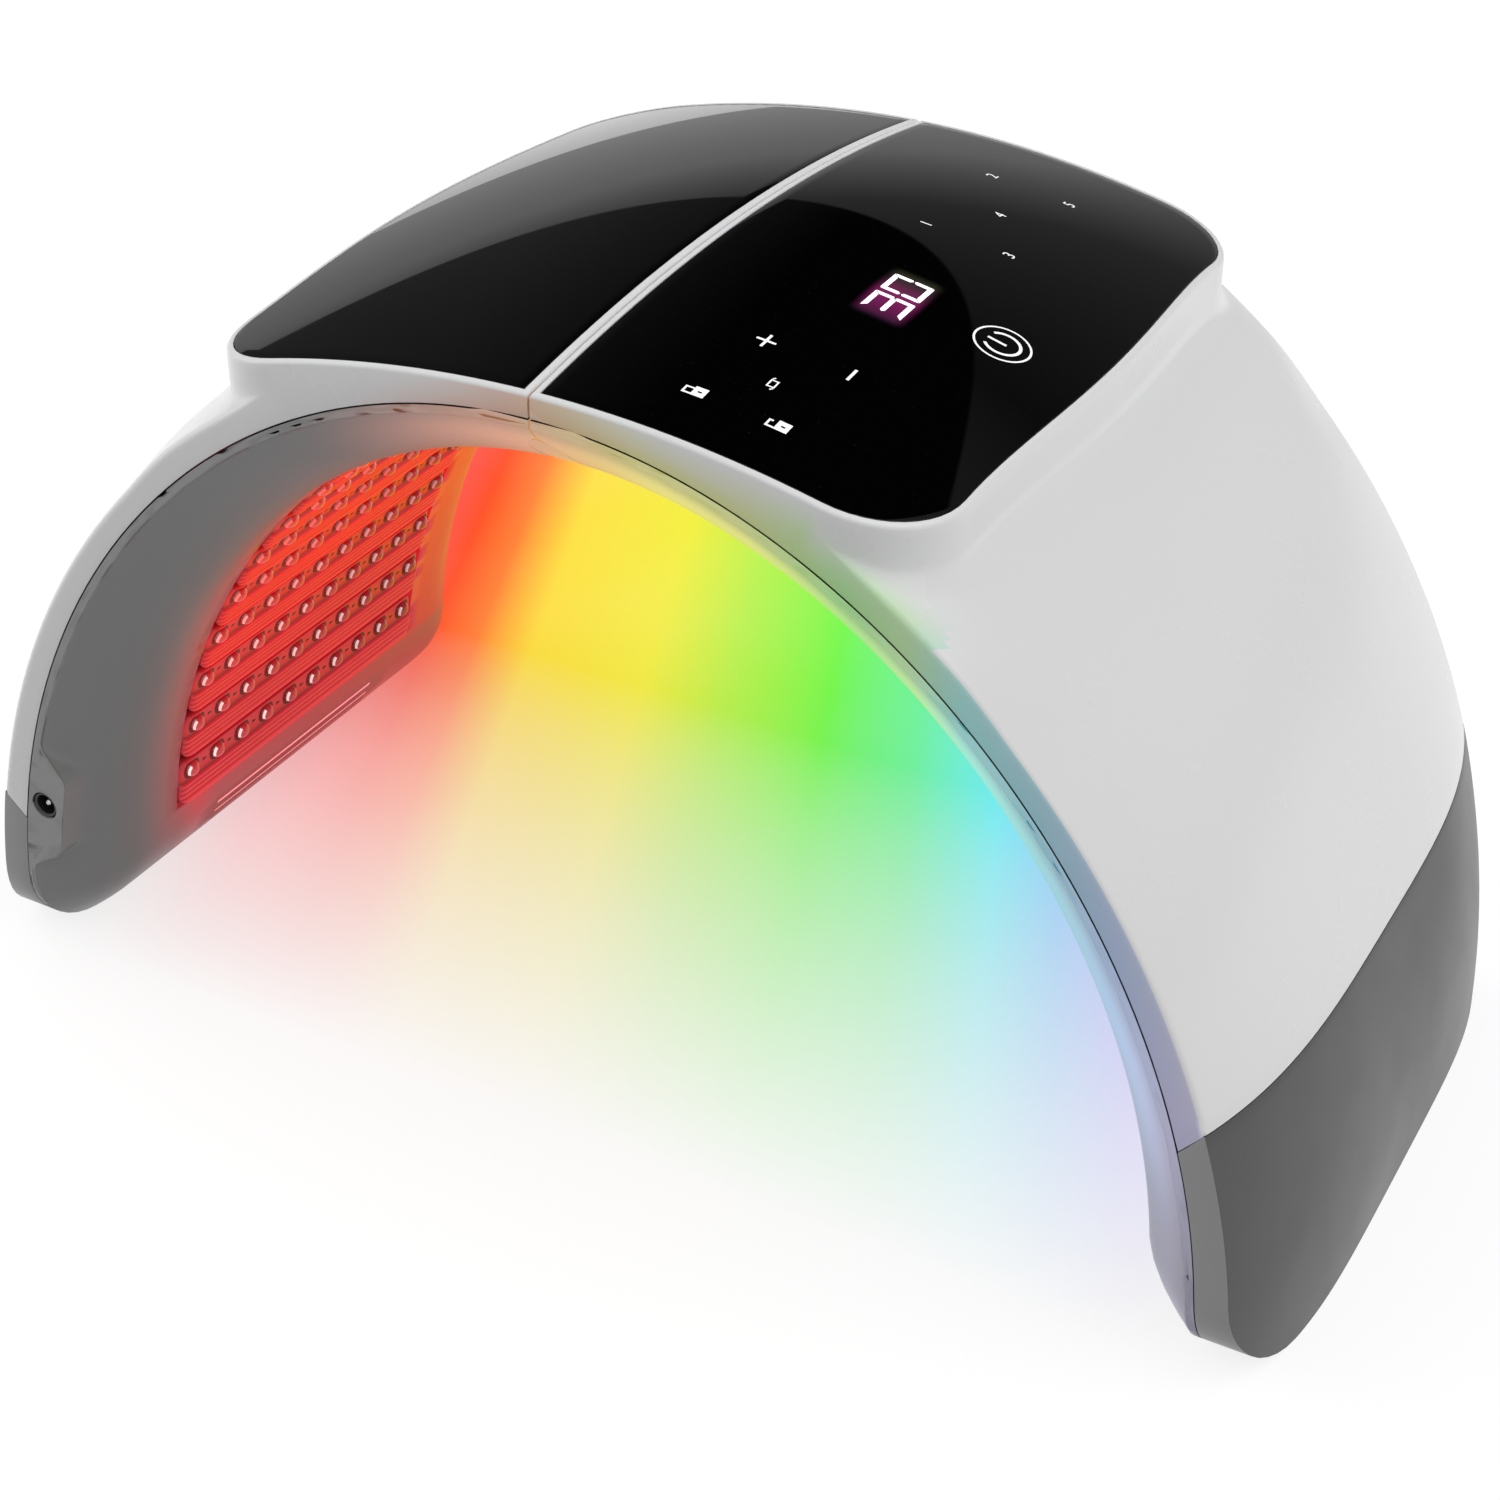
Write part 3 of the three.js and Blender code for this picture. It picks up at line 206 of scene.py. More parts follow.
@dataclass(frozen=True)
class ConsoleForm:
    """Raised console on the crown: its outline in plan, dome and flared wall, in millimetres."""

    half_length: float = 99.6
    half_depth: float = 101.5
    corner: float = 25.4
    seam: float = 0.3
    top: float = 229.8
    sag_across: float = 16.2
    sag_depth: float = 8.5
    wall: float = 11.0
    fillet: float = 14.0
    turn: float = math.radians(48)
    reach: float = 42.0
    side_bow: float = 3.6
    side_dip: float = 2.2

    @property
    def corner_centre(self) -> Vector:
        """Centre of the rear outer corner in plan."""
        return Vector((self.half_length - self.corner, self.half_depth - self.corner))

    def dome(self, x: float, y: float) -> float:
        """Height of the dome at x and y."""
        across, depth = (x / self.half_length) ** 2, (y / self.half_depth) ** 2
        dip = self.side_dip * across * (1 - depth)
        return self.top - self.sag_across * across - self.sag_depth * depth - dip

    def bow(self, y: float) -> float:
        """How far the long side of the outline stands out at y."""
        share = min(abs(y) / self.corner_centre.y, 1.0)
        return self.side_bow * (1 - share**2) ** 2

    def drop(self, away: float) -> float:
        """Depth of the flared wall's foot under the dome's edge at a distance away from it."""
        run = self.fillet * (1 - math.cos(self.turn))
        if away <= run:
            turn = math.acos(1 - max(away, 0.0) / self.fillet)
            return self.wall + self.fillet * math.sin(turn)
        return self.wall + self.fillet * math.sin(self.turn) + (away - run) / math.tan(self.turn)

    def inward(self, x: float, y: float) -> Vector:
        """Direction in plan from the outline towards the inside at x and y."""
        centre = self.corner_centre
        if x > centre.x and abs(y) > centre.y:
            to_centre = Vector((centre.x - x, math.copysign(centre.y, y) - y))
            return to_centre.normalized()
        gaps = {(1, 0): x - self.seam, (-1, 0): self.half_length + self.bow(y) - x,
                (0, 1): y + self.half_depth, (0, -1): self.half_depth - y}
        least = min(gaps.values())
        ways = [Vector(way) for way, gap in gaps.items() if gap < least + 1e-4]
        return sum(ways, Vector((0, 0)))


ARCH = ArchForm()
CONSOLE = ConsoleForm()


def smooth_max(a: float, b: float, width: float) -> float:
    """Larger of two heights with a soft valley between them."""
    overlap = max(width - abs(a - b), 0.0) / width
    return max(a, b) + overlap * overlap * width / 4


def ramp(value: float) -> float:
    """Smooth rise from 0 to 1."""
    t = min(max(value, 0.0), 1.0)
    return t * t * (3 - 2 * t)


def spread(start: float, end: float, count: int) -> list[float]:
    """Evenly spaced values, both ends included."""
    return [start + (end - start) * k / count for k in range(count + 1)]


# Mesh helpers.


def grid(bm: Mesh, columns: int, rows: int) -> dict[tuple[int, int], Vert]:
    """Adds a grid and returns its vertices by column and row.

    Args:
        bm: mesh that takes the grid.
        columns: number of vertex columns.
        rows: number of vertex rows.

    Returns:
        The vertices, keyed by column and row.
    """
    made = bmesh.ops.create_grid(bm, x_segments=columns - 1, y_segments=rows - 1, size=1.0)
    return {
        (round((v.co.x + 1) / 2 * (columns - 1)), round((v.co.y + 1) / 2 * (rows - 1))): v
        for v in made["verts"]
    }


def extruded(bm: Mesh, edges: Iterable[Edge], move: Callable[[Vector], Vector]) -> list[Edge]:
    """Extrudes edges and moves the new ones.

    Args:
        bm: the mesh.
        edges: edges to extrude.
        move: gives a new vertex its place from the old one's.

    Returns:
        The new edges that run along the old ones.
    """
    made = bmesh.ops.extrude_edge_only(bm, edges=list(edges))["geom"]
    verts = {g for g in made if isinstance(g, Vert)}
    for vert in verts:
        vert.co = move(vert.co.copy())
    return [g for g in made if isinstance(g, Edge) and set(g.verts) <= verts]


def strip(bm: Mesh, edges: Sequence[Edge], move: Callable[[Vector], Vector]) -> list[Edge]:
    """Extrudes edges into a strip with a row along its middle.

    Args:
        bm: the mesh.
        edges: edges to extrude.
        move: gives a new vertex its place from the old one's.

    Returns:
        The new edges that run along the old ones.
    """
    ends: dict[Vector, Vector] = {}

    def halfway(co: Vector) -> Vector:
        """Middle of the strip beside a point, with the strip's end noted for the next row."""
        middle = co.lerp(move(co), 0.5)
        ends[middle.freeze()] = move(co)
        return middle

    middle_row = extruded(bm, edges, halfway)
    return extruded(bm, middle_row, lambda co: ends[co.freeze()])


def new_mesh(*values: str) -> Mesh:
    """Starts a mesh with its bevel weights and named vertex values."""
    bm = bmesh.new()
    bm.edges.layers.float.new("bevel_weight_edge")
    for name in values:
        bm.verts.layers.float.new(name)
    return bm


def edges_between(verts: Sequence[Vert]) -> list[Edge]:
    """Edges that join each vertex of a row to the next one."""
    found = []
    for a, b in zip(verts, verts[1:]):
        found += [e for e in a.link_edges if e.other_vert(a) is b]
    return found


def chain(bm: Mesh, start: Vert, points: Iterable[Vector], end: Vert | None = None) -> list[Vert]:
    """Adds a row of vertices joined by edges from a start to an end."""
    verts = [start]
    for point in points:
        verts.append(bm.verts.new(point))
        bm.edges.new(verts[-2:])
    if end is not None:
        bm.edges.new((verts[-1], end))
        verts.append(end)
    return verts


def settle(bm: Mesh, side: Side, inside: Vector | None = None) -> None:
    """Takes a right-half mesh in millimetres to its place in metres and turns its faces out.

    Args:
        bm: the mesh.
        side: half that the piece belongs to.
        inside: point in millimetres that outward faces look away from, if the mesh is open.
    """
    bmesh.ops.remove_doubles(bm, verts=bm.verts, dist=0.004)
    bmesh.ops.dissolve_degenerate(bm, dist=0.002, edges=bm.edges)
    to_metres(bm, side)
    bmesh.ops.recalc_face_normals(bm, faces=bm.faces)
    if inside is not None:
        centre = Vector((inside.x * side.value, inside.y, inside.z)) * MM
        flux = sum(f.normal.dot(f.calc_center_median() - centre) * f.calc_area() for f in bm.faces)
        if flux < 0:
            bmesh.ops.reverse_faces(bm, faces=bm.faces)


def to_metres(bm: Mesh, side: Side = Side.RIGHT) -> None:
    """Takes a right-half mesh in millimetres to its side's place in metres."""
    bmesh.ops.transform(bm, matrix=Matrix.Diagonal((side.value * MM, MM, MM, 1)), verts=bm.verts)


def weigh(bm: Mesh, edges: Iterable[Edge], share: float) -> None:
    """Gives edges their share of the piece's bevel width."""
    layer = bm.edges.layers.float["bevel_weight_edge"]
    for edge in edges:
        edge[layer] = share


def piece(name: str, bm: Mesh, materials: Sequence[Material], body: str,
          bevel: float = 0.0, crease_angle: float = 32.0) -> Object:
    """Makes a finished object from a mesh.

    Args:
        name: name of the piece.
        bm: its mesh in metres, which is used up.
        materials: materials in the order of the faces' indices.
        body: body that it rides on.
        bevel: width in millimetres of a weighted edge's bevel.
        crease_angle: angle in degrees past which an edge stays crisp.

    Returns:
        The object.
    """
    layer = bm.edges.layers.float["bevel_weight_edge"]
    for face in bm.faces:
        face.smooth = True
    for edge in bm.edges:
        bevelled = edge[layer] > 0
        edge.smooth = bevelled or edge.calc_face_angle(0.0) < math.radians(crease_angle)
    mesh = bpy.data.meshes.new(name)
    bm.to_mesh(mesh)
    bm.free()
    obj = bpy.data.objects.new(name, mesh)
    bpy.context.scene.collection.objects.link(obj)
    for material in materials:
        mesh.materials.append(material)
    if bevel > 0:
        rounding = obj.modifiers.new("rounding", "BEVEL")
        rounding.limit_method = "WEIGHT"
        rounding.width = bevel * MM
        rounding.segments = 3
        rounding.profile = 0.5
        rounding.use_clamp_overlap = True
    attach(obj, body)
    LOG.info("%s: %d faces on %s", name, len(mesh.polygons), body)
    return obj


# Outer shells.


@dataclass
class OuterShell:
    """White shell of one half with its part of the console."""

    side: Side
    cap_height: float
    bezel: tuple[Pair, ...] = (
        (0.1, 0.3), (0.32, -0.02), (0.7, -0.22), (1.1, -0.27), (1.5, -0.22), (1.72, -0.02),
        (1.75, 0.5), (1.75, 2.6), (4.5, 2.7),
    )
    wall_shares: tuple[float, ...] = (0.0, 0.25, 0.5, 0.75, 1.0)
    rim_radius: float = 1.4

    def rows(self) -> list[tuple[int, float]]:
        """Rows across the depth: a corner's sign and share of its turn, or 0 and a y."""
        steps = 12
        straight = CONSOLE.corner_centre.y
        corner = [k / steps for k in range(steps, 0, -1)]
        flat = [(0, y) for y in spread(-straight, straight, 32)]
        return [(-1, s) for s in corner] + flat + [(1, s) for s in reversed(corner)]

    def columns(self) -> list[tuple[str, float]]:
        """Columns from the cap's joint up to the console's edge."""
        low = [("low", s) for s in spread(0.0, 1.0, 18)[:-1]]
        far = [("away", d) for d in (42, 38, 34, 30, 26, 22.5, 19.5, 17, 15, 13, 11.4, 9.8)]
        near = [("away", CONSOLE.fillet * (1 - math.cos(CONSOLE.turn * k / 9))) for k in range(12, 0, -1)]
        near = [("away", 8.2), ("away", 6.6), ("away", 5.4)] + near[3:]
        wall = [("wall", s) for s in reversed(self.wall_shares)]
        return low + far + near + wall

    def plan(self, away: float, row: tuple[int, float]) -> tuple[float, float, float, float]:
        """Place in plan at a distance from the console, and the outline's point it belongs to."""
        sign, value = row
        centre = CONSOLE.corner_centre
        if sign == 0:
            bow = CONSOLE.bow(value)
            edge = CONSOLE.half_length + bow
            return edge + away * (1 - bow / CONSOLE.reach), value, edge, value
        radius = CONSOLE.corner + away
        turn = value * math.asin(CONSOLE.corner / radius)
        c, s = math.cos(turn), math.sin(turn)
        edge = CONSOLE.corner
        return (centre.x + radius * c, sign * (centre.y + radius * s),
                centre.x + edge * c, sign * (centre.y + edge * s))

    def arch_up(self, x: float, y: float) -> float:
        """Length along the arch at which the outer skin stands over x."""
        low, high = 0.0, ARCH.length
        for _ in range(34):
            mid = (low + high) / 2
            low, high = (mid, high) if ARCH.place(mid, ARCH.outer(mid, y)).x > x else (low, mid)
        return low

    def skin(self, away: float, row: tuple[int, float]) -> Vector:
        """Point of the skin at a distance from the console's outline."""
        x, y, base_x, base_y = self.plan(away, row)
        up = self.arch_up(x, y)
        arch = ARCH.place(up, ARCH.outer(up, y)).y
        wall = CONSOLE.dome(base_x, base_y) - CONSOLE.drop(away) - 12 * ramp((away - 16) / 26)
        return Vector((x, y, smooth_max(arch, wall, 12.0 - 5.0 * ramp((away - 24) / 14))))

    def low_skin(self, share: float, row: tuple[int, float]) -> Vector:
        """Point of the skin between the cap's joint and the console's reach."""
        x, y, _, _ = self.plan(CONSOLE.reach, row)
        top = self.arch_up(x, y)
        joint = self.cap_height + ARCH.joint_shift(self.cap_height, y, ARCH.outer(self.cap_height, y))
        up = joint + (top - joint) * share
        here = max(up, self.cap_height) if share else self.cap_height
        spot = ARCH.place(up, ARCH.outer(here, y))
        return Vector((spot.x, y, spot.y))

    def point(self, column: tuple[str, float], row: tuple[int, float]) -> Vector:
        """Point of the skin at a column and row."""
        kind, value = column
        if kind == "low":
            return self.low_skin(value, row)
        if kind == "away":
            return self.skin(value, row)
        foot = self.skin(0.0, row)
        edge = CONSOLE.dome(foot.x, foot.y) - 0.8
        return Vector((foot.x, foot.y, edge + (foot.z - edge) * value))

    def rim_foot(self, spot: Vector) -> Vector:
        """Point of the parting line under a point of the rim's edge."""
        up = ARCH.foot_of(spot.x, spot.z)
        if up < self.cap_height + 0.02:
            up = self.cap_height + ARCH.joint_shift(self.cap_height, ARCH.half_depth, 0.0)
        line = ARCH.place(up, 0.0)
        return Vector((line.x, spot.y, line.y))

    def ring_point(self, spot: Vector, inset: float, depth: float) -> Vector:
        """Point of the console's edge drawn in by an inset at a depth under the dome."""
        way = CONSOLE.inward(spot.x, spot.y)
        x, y = spot.x + way.x * inset, spot.y + way.y * inset
        return Vector((x, y, CONSOLE.dome(x, y) - depth))

    def build(self, white: Material, rim_white: Material, inside: Material) -> Object:
        """Builds the shell and dresses it.

        Args:
            white: the gloss white finish.
            rim_white: the same with the panels' coloured light painted on it.
            inside: painted shade, a dark finish on the wall's edge inside the parting gap.

        Returns:
            The finished object.
        """
        bm = new_mesh("rim_painted_light")
        columns, rows = self.columns(), self.rows()
        net = grid(bm, len(columns), len(rows))
        for (i, j), vert in net.items():
            vert.co = self.point(columns[i], rows[j])
        last, end = len(columns) - 1, len(rows) - 1
        front, rear = ([net[i, j] for i in range(last + 1)] for j in (0, end))
        corner = CONSOLE.corner_centre.x

        def top_edge(x: float, y: float) -> Vector:
            """Point of the console's upper edge."""
            return Vector((x, y, CONSOLE.dome(x, y) - 0.8))

        across = spread(-CONSOLE.half_depth, CONSOLE.half_depth, 32)
        xs = spread(corner, CONSOLE.seam, 14)[1:]
        path = [top_edge(x, across[0]) for x in xs]
        path += [top_edge(CONSOLE.seam, y) for y in across[1:]]
        path += [top_edge(x, across[-1]) for x in reversed(xs[:-1])]
        loop = chain(bm, net[last, 0], path, net[last, end])
        n = len(xs)
        side_run = [net[last, j] for j in range(end + 1)]
        joint = [net[0, j] for j in range(end + 1)]
        for edge in edges_between(front) + edges_between(rear):
            x = (edge.verts[0].co.x + edge.verts[1].co.x) / 2
            weigh(bm, [edge], ramp((x - corner - 2) / 14))
        # Painted light: the panels' coloured light painted into the front rim's colour, fading away from the
        # rim.
        light_tint = bm.verts.layers.float["rim_painted_light"]
        skin = set(bm.faces)
        for run in (front + loop[1:n + 1], rear + loop[-2:-n - 2:-1]):
            share = 1.0 if run[0].co.y < 0 else 0.0
            before = set(bm.verts)
            foot = {v for e in strip(bm, edges_between(run), self.rim_foot) for v in e.verts}
            for vert in foot:
                vert[light_tint] = share * self.painted_light_at(vert.co.x)
            for vert in set(bm.verts) - before - foot:
                vert[light_tint] = share * self.painted_light_at(vert.co.x) * (0.4 + 0.5 * ramp(abs(vert.co.x - 45) / 50))
            for vert in run:
                vert[light_tint] = share * self.painted_light_at(vert.co.x) * self.edge_painted_light(vert.co)
        strip(bm, edges_between(loop[n:len(loop) - n]), lambda co: Vector((co.x, co.y, ARCH.crown)))
        # The skin just behind the front rim takes the fading painted light as well.
        soft = set()
        for (i, j), vert in net.items():
            if columns[i][0] != "low" and j < 7 and vert.co.x < 106:
                soft.add(vert)
                vert[light_tint] = net[i, 0][light_tint] * (1.0, 0.75, 0.5, 0.3, 0.15, 0.06, 0.0)[j]
        for face in bm.faces:
            if face not in skin or soft.issuperset(face.verts):
                face.material_index = 2
        ring = edges_between(loop) + edges_between(side_run)
        previous = (0.0, 0.8)
        for inset, depth in self.bezel:
            step = inset - previous[0]
            ring = extruded(bm, ring, lambda co, s=step, d=depth: self.ring_point(co, s, d))
            previous = (inset, depth)
            for vert in {v for e in ring for v in e.verts}:
                vert[light_tint] = 0.0
        weigh(bm, edges_between(joint), 0.12)
        bmesh.ops.remove_doubles(bm, verts=bm.verts, dist=0.004)
        rim = [e for e in bm.edges if e.is_boundary and min(v.co.z for v in e.verts) < ARCH.crown + 1.0
               and not all(CONSOLE.dome(v.co.x, v.co.y) - v.co.z < 4 and abs(v.co.y) < 100 and v.co.x < 99
                           for v in e.verts)]
        weigh(bm, rim, 0.2)
        # The wall inside the parting gap takes the painted shade.
        faces = set(bm.faces)
        extruded(bm, rim, self.lip_point)
        for face in set(bm.faces) - faces:
            face.material_index = 1
        settle(bm, self.side, Vector((60, 0, 60)))
        name = f"{self.side.label}_shell_skin"
        shell = piece(name, bm, [white, inside, rim_white], self.side.body,
                      bevel=self.rim_radius)
        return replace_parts(shell, f"{self.side.label}_outer_shell")

    def painted_light_at(self, x: float) -> float:
        """Share of the painted coloured light that the front rim shows at a place across."""
        return 1.0 if self.side is Side.RIGHT else 1 - ramp((x + 4) / 62)

    def edge_painted_light(self, spot: Vector) -> float:
        """Part of that painted light that still reaches the rim's upper edge."""
        if spot.x < CONSOLE.corner_centre.x - 0.1:
            return 0.75 * (1 - ramp(spot.x / 42))
        below = CONSOLE.dome(CONSOLE.corner_centre.x, CONSOLE.half_depth) - spot.z
        return 0.75 * ramp(below / 20)

    def lip_point(self, spot: Vector) -> Vector:
        """Point of the wall's inner edge beside a point of its outer edge."""
        y = math.copysign(min(abs(spot.y), ARCH.half_depth - 2.4), spot.y)
        up = ARCH.foot_of(spot.x, spot.z)
        line = ARCH.place(up, 0.0)
        out = (Vector((spot.x, spot.z)) - line).length
        inner = ARCH.place(up, max(out - 2.4, 0.0))
        return Vector((max(inner.x, 2.7), y, inner.y))


@dataclass
class LegCap:
    """Grey cap over the end of one leg."""

    side: Side
    height: float
    rim_radius: float = 1.4

    def spot(self, up: float, y: float, out: float) -> Vector:
        """Real point of a place along, across and out of the arch."""
        plane = ARCH.place(up, out)
        return Vector((plane.x, y, plane.y))

    def build(self, grey: Material, rim: Material) -> Object:
        """Builds the cap and dresses it.

        Args:
            grey: the satin grey finish.
            rim: a lighter copy of the grey, painted light on its flat rims.

        Returns:
            The finished object.
        """
        bm = new_mesh()
        top = self.height - 0.12
        corner = [ARCH.foot_corner * (1 - math.cos(math.radians(a))) for a in range(0, 91, 9)]
        ups = corner + spread(ARCH.foot_corner, top, 10)[1:]
        shares = [math.sin(math.radians(a)) for a in range(-90, 91, 5)]
        net = grid(bm, len(ups), len(shares))
        for (i, j), vert in net.items():
            up = ups[i]
            y = shares[j] * ARCH.half_depth_at(up)
            out = ARCH.outer(up, y)
            shift = ARCH.joint_shift(top, y, out) if i == len(ups) - 1 else 0.0
            vert.co = Vector((up + shift, y, out))
        last, end = len(ups) - 1, len(shares) - 1
        run = [net[i, 0] for i in range(last, -1, -1)] + [net[0, j] for j in range(1, end + 1)]
        run += [net[i, end] for i in range(1, last + 1)]
        outline = edges_between(run)
        weigh(bm, outline, 1.0)
        joint = edges_between([net[last, j] for j in range(end + 1)])
        weigh(bm, joint, 0.12)

        def to_line(co: Vector) -> Vector:
            """Point of the parting line under a point of the rim."""
            near = max(co.x - top + 16, 0.0) / 16
            return Vector((co.x + ARCH.joint_shift(top, ARCH.half_depth, 0.0) * near, co.y, 0.0))

        # The rim strip takes the lighter copy of the grey as painted light.
        faces = set(bm.faces)
        strip(bm, outline, to_line)
        for face in set(bm.faces) - faces:
            face.material_index = 1
        open_edges = [e for e in bm.edges if e.is_boundary]
        weigh(bm, open_edges, 0.2)

        def to_inside(co: Vector) -> Vector:
            """Point of the wall's inner edge beside a point of its outer edge."""
            inner = ARCH.half_depth_at(max(co.x, 2.4), 2.4)
            y = max(-inner, min(inner, co.y))
            return Vector((max(co.x, 2.4), y, max(co.z - 2.4, 0.0)))

        extruded(bm, open_edges, to_inside)
        for vert in bm.verts:
            vert.co = self.spot(*vert.co)
        settle(bm, self.side, Vector((150, 0, 40)))
        cap = piece(f"{self.side.label}_cap_skin", bm, [grey, rim], self.side.body,
                    bevel=self.rim_radius)
        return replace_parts(cap, f"{self.side.label}_leg_cap")


# Inner covers.


@dataclass
class InnerCover:
    """Padded grey face inside one half, with its window, hinge end, vents and inlet shoulder."""

    side: Side
    window: Pair = (33.6, 272.55)
    window_half: float = 60.0
    window_wall: float = 4.5
    barrel_height: float = 203.0
    barrel_groove: float = 5.5
    relief: float = math.radians(42.5)
    vents: tuple[float, ...] = (9.0, 13.3, 17.6, 22.0)
    vent_width: float = 1.6
    vent_half: float = 40.0
    inlet: Pair = (54.8, 6.0)
    inlet_radius: float = 4.3
    edge_radius: float = 0.9

    def depth(self, up: float, y: float) -> float:
        """Depth of the padded face below the parting line."""
        base = ARCH.pillow(ARCH.outline_distance(up, y))
        if self.side is Side.RIGHT or y > 0:
            return base
        rise = min(ramp((up - 29) / 11.5), ramp((77 - up) / 11.5))
        return smooth_max(base, ARCH.lip + 10.1 * rise, 2.5 * rise + 0.01)

    def columns(self) -> list[float]:
        """Lengths from the foot at which the face has a column."""
        marks = [0.0, *self.window]
        if self.side is Side.LEFT:
            for vent in self.vents:
                marks += [vent, vent + self.vent_width]
            marks += spread(29, 40.5, 6) + spread(65.5, 77, 6) + spread(49.3, 60.3, 4)
        filler = [ARCH.foot_corner * (1 - math.cos(math.radians(a))) for a in range(8, 90, 9)]
        filler += spread(ARCH.foot_corner, ARCH.length - 12, 70)
        kept = sorted(set(marks))
        for up in filler:
            if all(abs(up - mark) > 1.0 for mark in kept):
                kept.append(up)
        return sorted(kept)

    def rows(self) -> list[float]:
        """Insets from the front edge as shares, run to the rear edge."""
        near = [0.0, 0.6, 1.5, 2.7, 4.2, 6.0, 8.2, 11.0, 14.0, 17.5, 21.5, 26.0, 31.0, 36.0]
        middle = spread(-self.vent_half, self.vent_half, 10)
        inner = [-self.window_half, -50.0, *middle, 50.0, self.window_half]
        return [d - ARCH.half_depth for d in near] + inner + [ARCH.half_depth - d for d in reversed(near)]

    def row_y(self, row: float, up: float) -> float:
        """Depth of a row at a height, drawn in round the foot's corner."""
        drawn = ARCH.half_depth - ARCH.half_depth_at(up)
        if drawn <= 0 or abs(row) <= self.window_half - 8:
            return row
        share = min((abs(row) - self.window_half + 8) / (ARCH.half_depth - self.window_half + 8), 1.0)
        return math.copysign(abs(row) - drawn * share, row)

    def seam_profile(self, face: float) -> list[Vector]:
        """Section at the seam from the padded face up round the barrel.

        Args:
            face: height of the padded face there.

        Returns:
            Points as x and z, always the same number.
        """
        hub, slope = self.barrel_height, math.tan(self.relief)
        points = [Vector((slope * (hub - z), z)) for z in (193.5, 195.0, 197.0)]
        for degrees in range(-47, 91, 12):
            turn = math.radians(degrees)
            points.append(Vector((self.barrel_groove * math.cos(turn),
                                  hub + self.barrel_groove * math.sin(turn))))
        points.append(Vector((ARCH.half_gap, hub + self.barrel_groove)))
        points.append(Vector((ARCH.half_gap, ARCH.crown - 0.3)))
        crossing = next((k for k, p in enumerate(points) if p.y > face), len(points) - 1)
        start = points[max(crossing - 1, 0)]
        gap = points[crossing].y - start.y
        share = (face - start.y) / gap if crossing and gap > 1e-6 else 0.0
        meet = start.lerp(points[crossing], min(max(share, 0.0), 1.0))
        meet = Vector((max(meet.x, ARCH.half_gap), face))
        return [meet if k < crossing else Vector((max(p.x, ARCH.half_gap), p.y))
                for k, p in enumerate(points)]

    def build(self, grey: Material, vent: Material, inside: Material) -> Object:
        """Builds the cover and dresses it.

        Args:
            grey: satin grey finish with the panel's light painted on it.
            vent: painted light, a glowing finish on the floors of the vents.
            inside: painted shade, a dark finish on the edge inside the parting gap.

        Returns:
            The finished object.
        """
        bm = new_mesh("panel_glow", "rim_painted_light")
        ups, rows = self.columns(), self.rows()
        tail = len(self.seam_profile(194.3))
        net = grid(bm, len(ups) + tail, len(rows))
        glow = bm.verts.layers.float["panel_glow"]
        for (i, j), vert in net.items():
            if i < len(ups):
                up = ups[i]
                y = self.row_y(rows[j], up)
                spot = ARCH.place(up, -self.depth(up, y))
                edge = max(spot.x, (self.barrel_height - spot.y) * math.tan(self.relief))
                vert.co = Vector((edge if up > 250 else spot.x, y, spot.y))
            else:
                y = rows[j]
                face = ARCH.crown - self.depth(ARCH.length, y)
                spot = self.seam_profile(face)[i - len(ups)]
                vert.co = Vector((spot.x, y, spot.y))
                up = ARCH.length
            vert[glow] = self.glow_at(up, y)
        low, high = (ups.index(v) for v in self.window)
        near, far = rows.index(-self.window_half), rows.index(self.window_half)
        hole = [net[i, j] for i in range(low, high + 1) for j in range(near, far + 1)]
        self.sink(bm, hole, self.window_wall)
        if self.side is Side.LEFT:
            start, stop = rows.index(-self.vent_half), rows.index(self.vent_half)
            for height in self.vents:
                a, b = ups.index(height), ups.index(height + self.vent_width)
                slit = [net[i, j] for i in range(a, b + 1) for j in range(start, stop + 1)]
                floor = bmesh.ops.contextual_create(bm, geom=self.sink(bm, slit, 0.3))["faces"]
                # The vents' floors take the painted glow.
                for face in floor:
                    face.material_index = 1
        last, end = len(ups) + tail - 1, len(rows) - 1
        front = [net[i, 0] for i in range(last, -1, -1)]
        rear = [net[i, end] for i in range(0, last + 1)]
        base = [net[0, j] for j in range(end + 1)]
        outline = edges_between(front) + edges_between(base) + edges_between(rear)
        weigh(bm, outline, 1.0)
        inlet = []
        if self.side is Side.LEFT:
            span = [i for i, up in enumerate(ups) if 49.2 < up < 60.4]
            inlet = edges_between([net[i, 0] for i in span])
        # Painted light: the panels' coloured light painted along the pad's front edge, fading over the first
        # rows.
        light_tint = bm.verts.layers.float["rim_painted_light"]
        for j, fade in enumerate((1.0, 1.0, 1.1, 1.3, 1.4, 1.4, 1.3, 1.1, 0.9, 0.6, 0.3)):
            for i in range(last + 1):
                net[i, j][light_tint] = fade * self.painted_light_at(net[i, j].co)
        top = strip(bm, [e for e in outline if e not in inlet], self.to_line)
        weigh(bm, top, 0.2)
        # The edge inside the parting gap takes the painted shade.
        faces = set(bm.faces)
        extruded(bm, top, lambda co: Vector((co.x, co.y - math.copysign(3.0, co.y) * (abs(co.y) > 60), co.z)))
        for face in set(bm.faces) - faces:
            face.material_index = 2
        if inlet:
            self.bore(bm, inlet)
        settle(bm, self.side, Vector((230, 0, 230)))
        bmesh.ops.reverse_faces(bm, faces=bm.faces)
        self.face_in(bm)
        cover = piece(f"{self.side.label}_cover_pad", bm, [grey, vent, inside], self.side.body,
                      bevel=self.edge_radius, crease_angle=38)
        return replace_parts(cover, f"{self.side.label}_inner_cover")

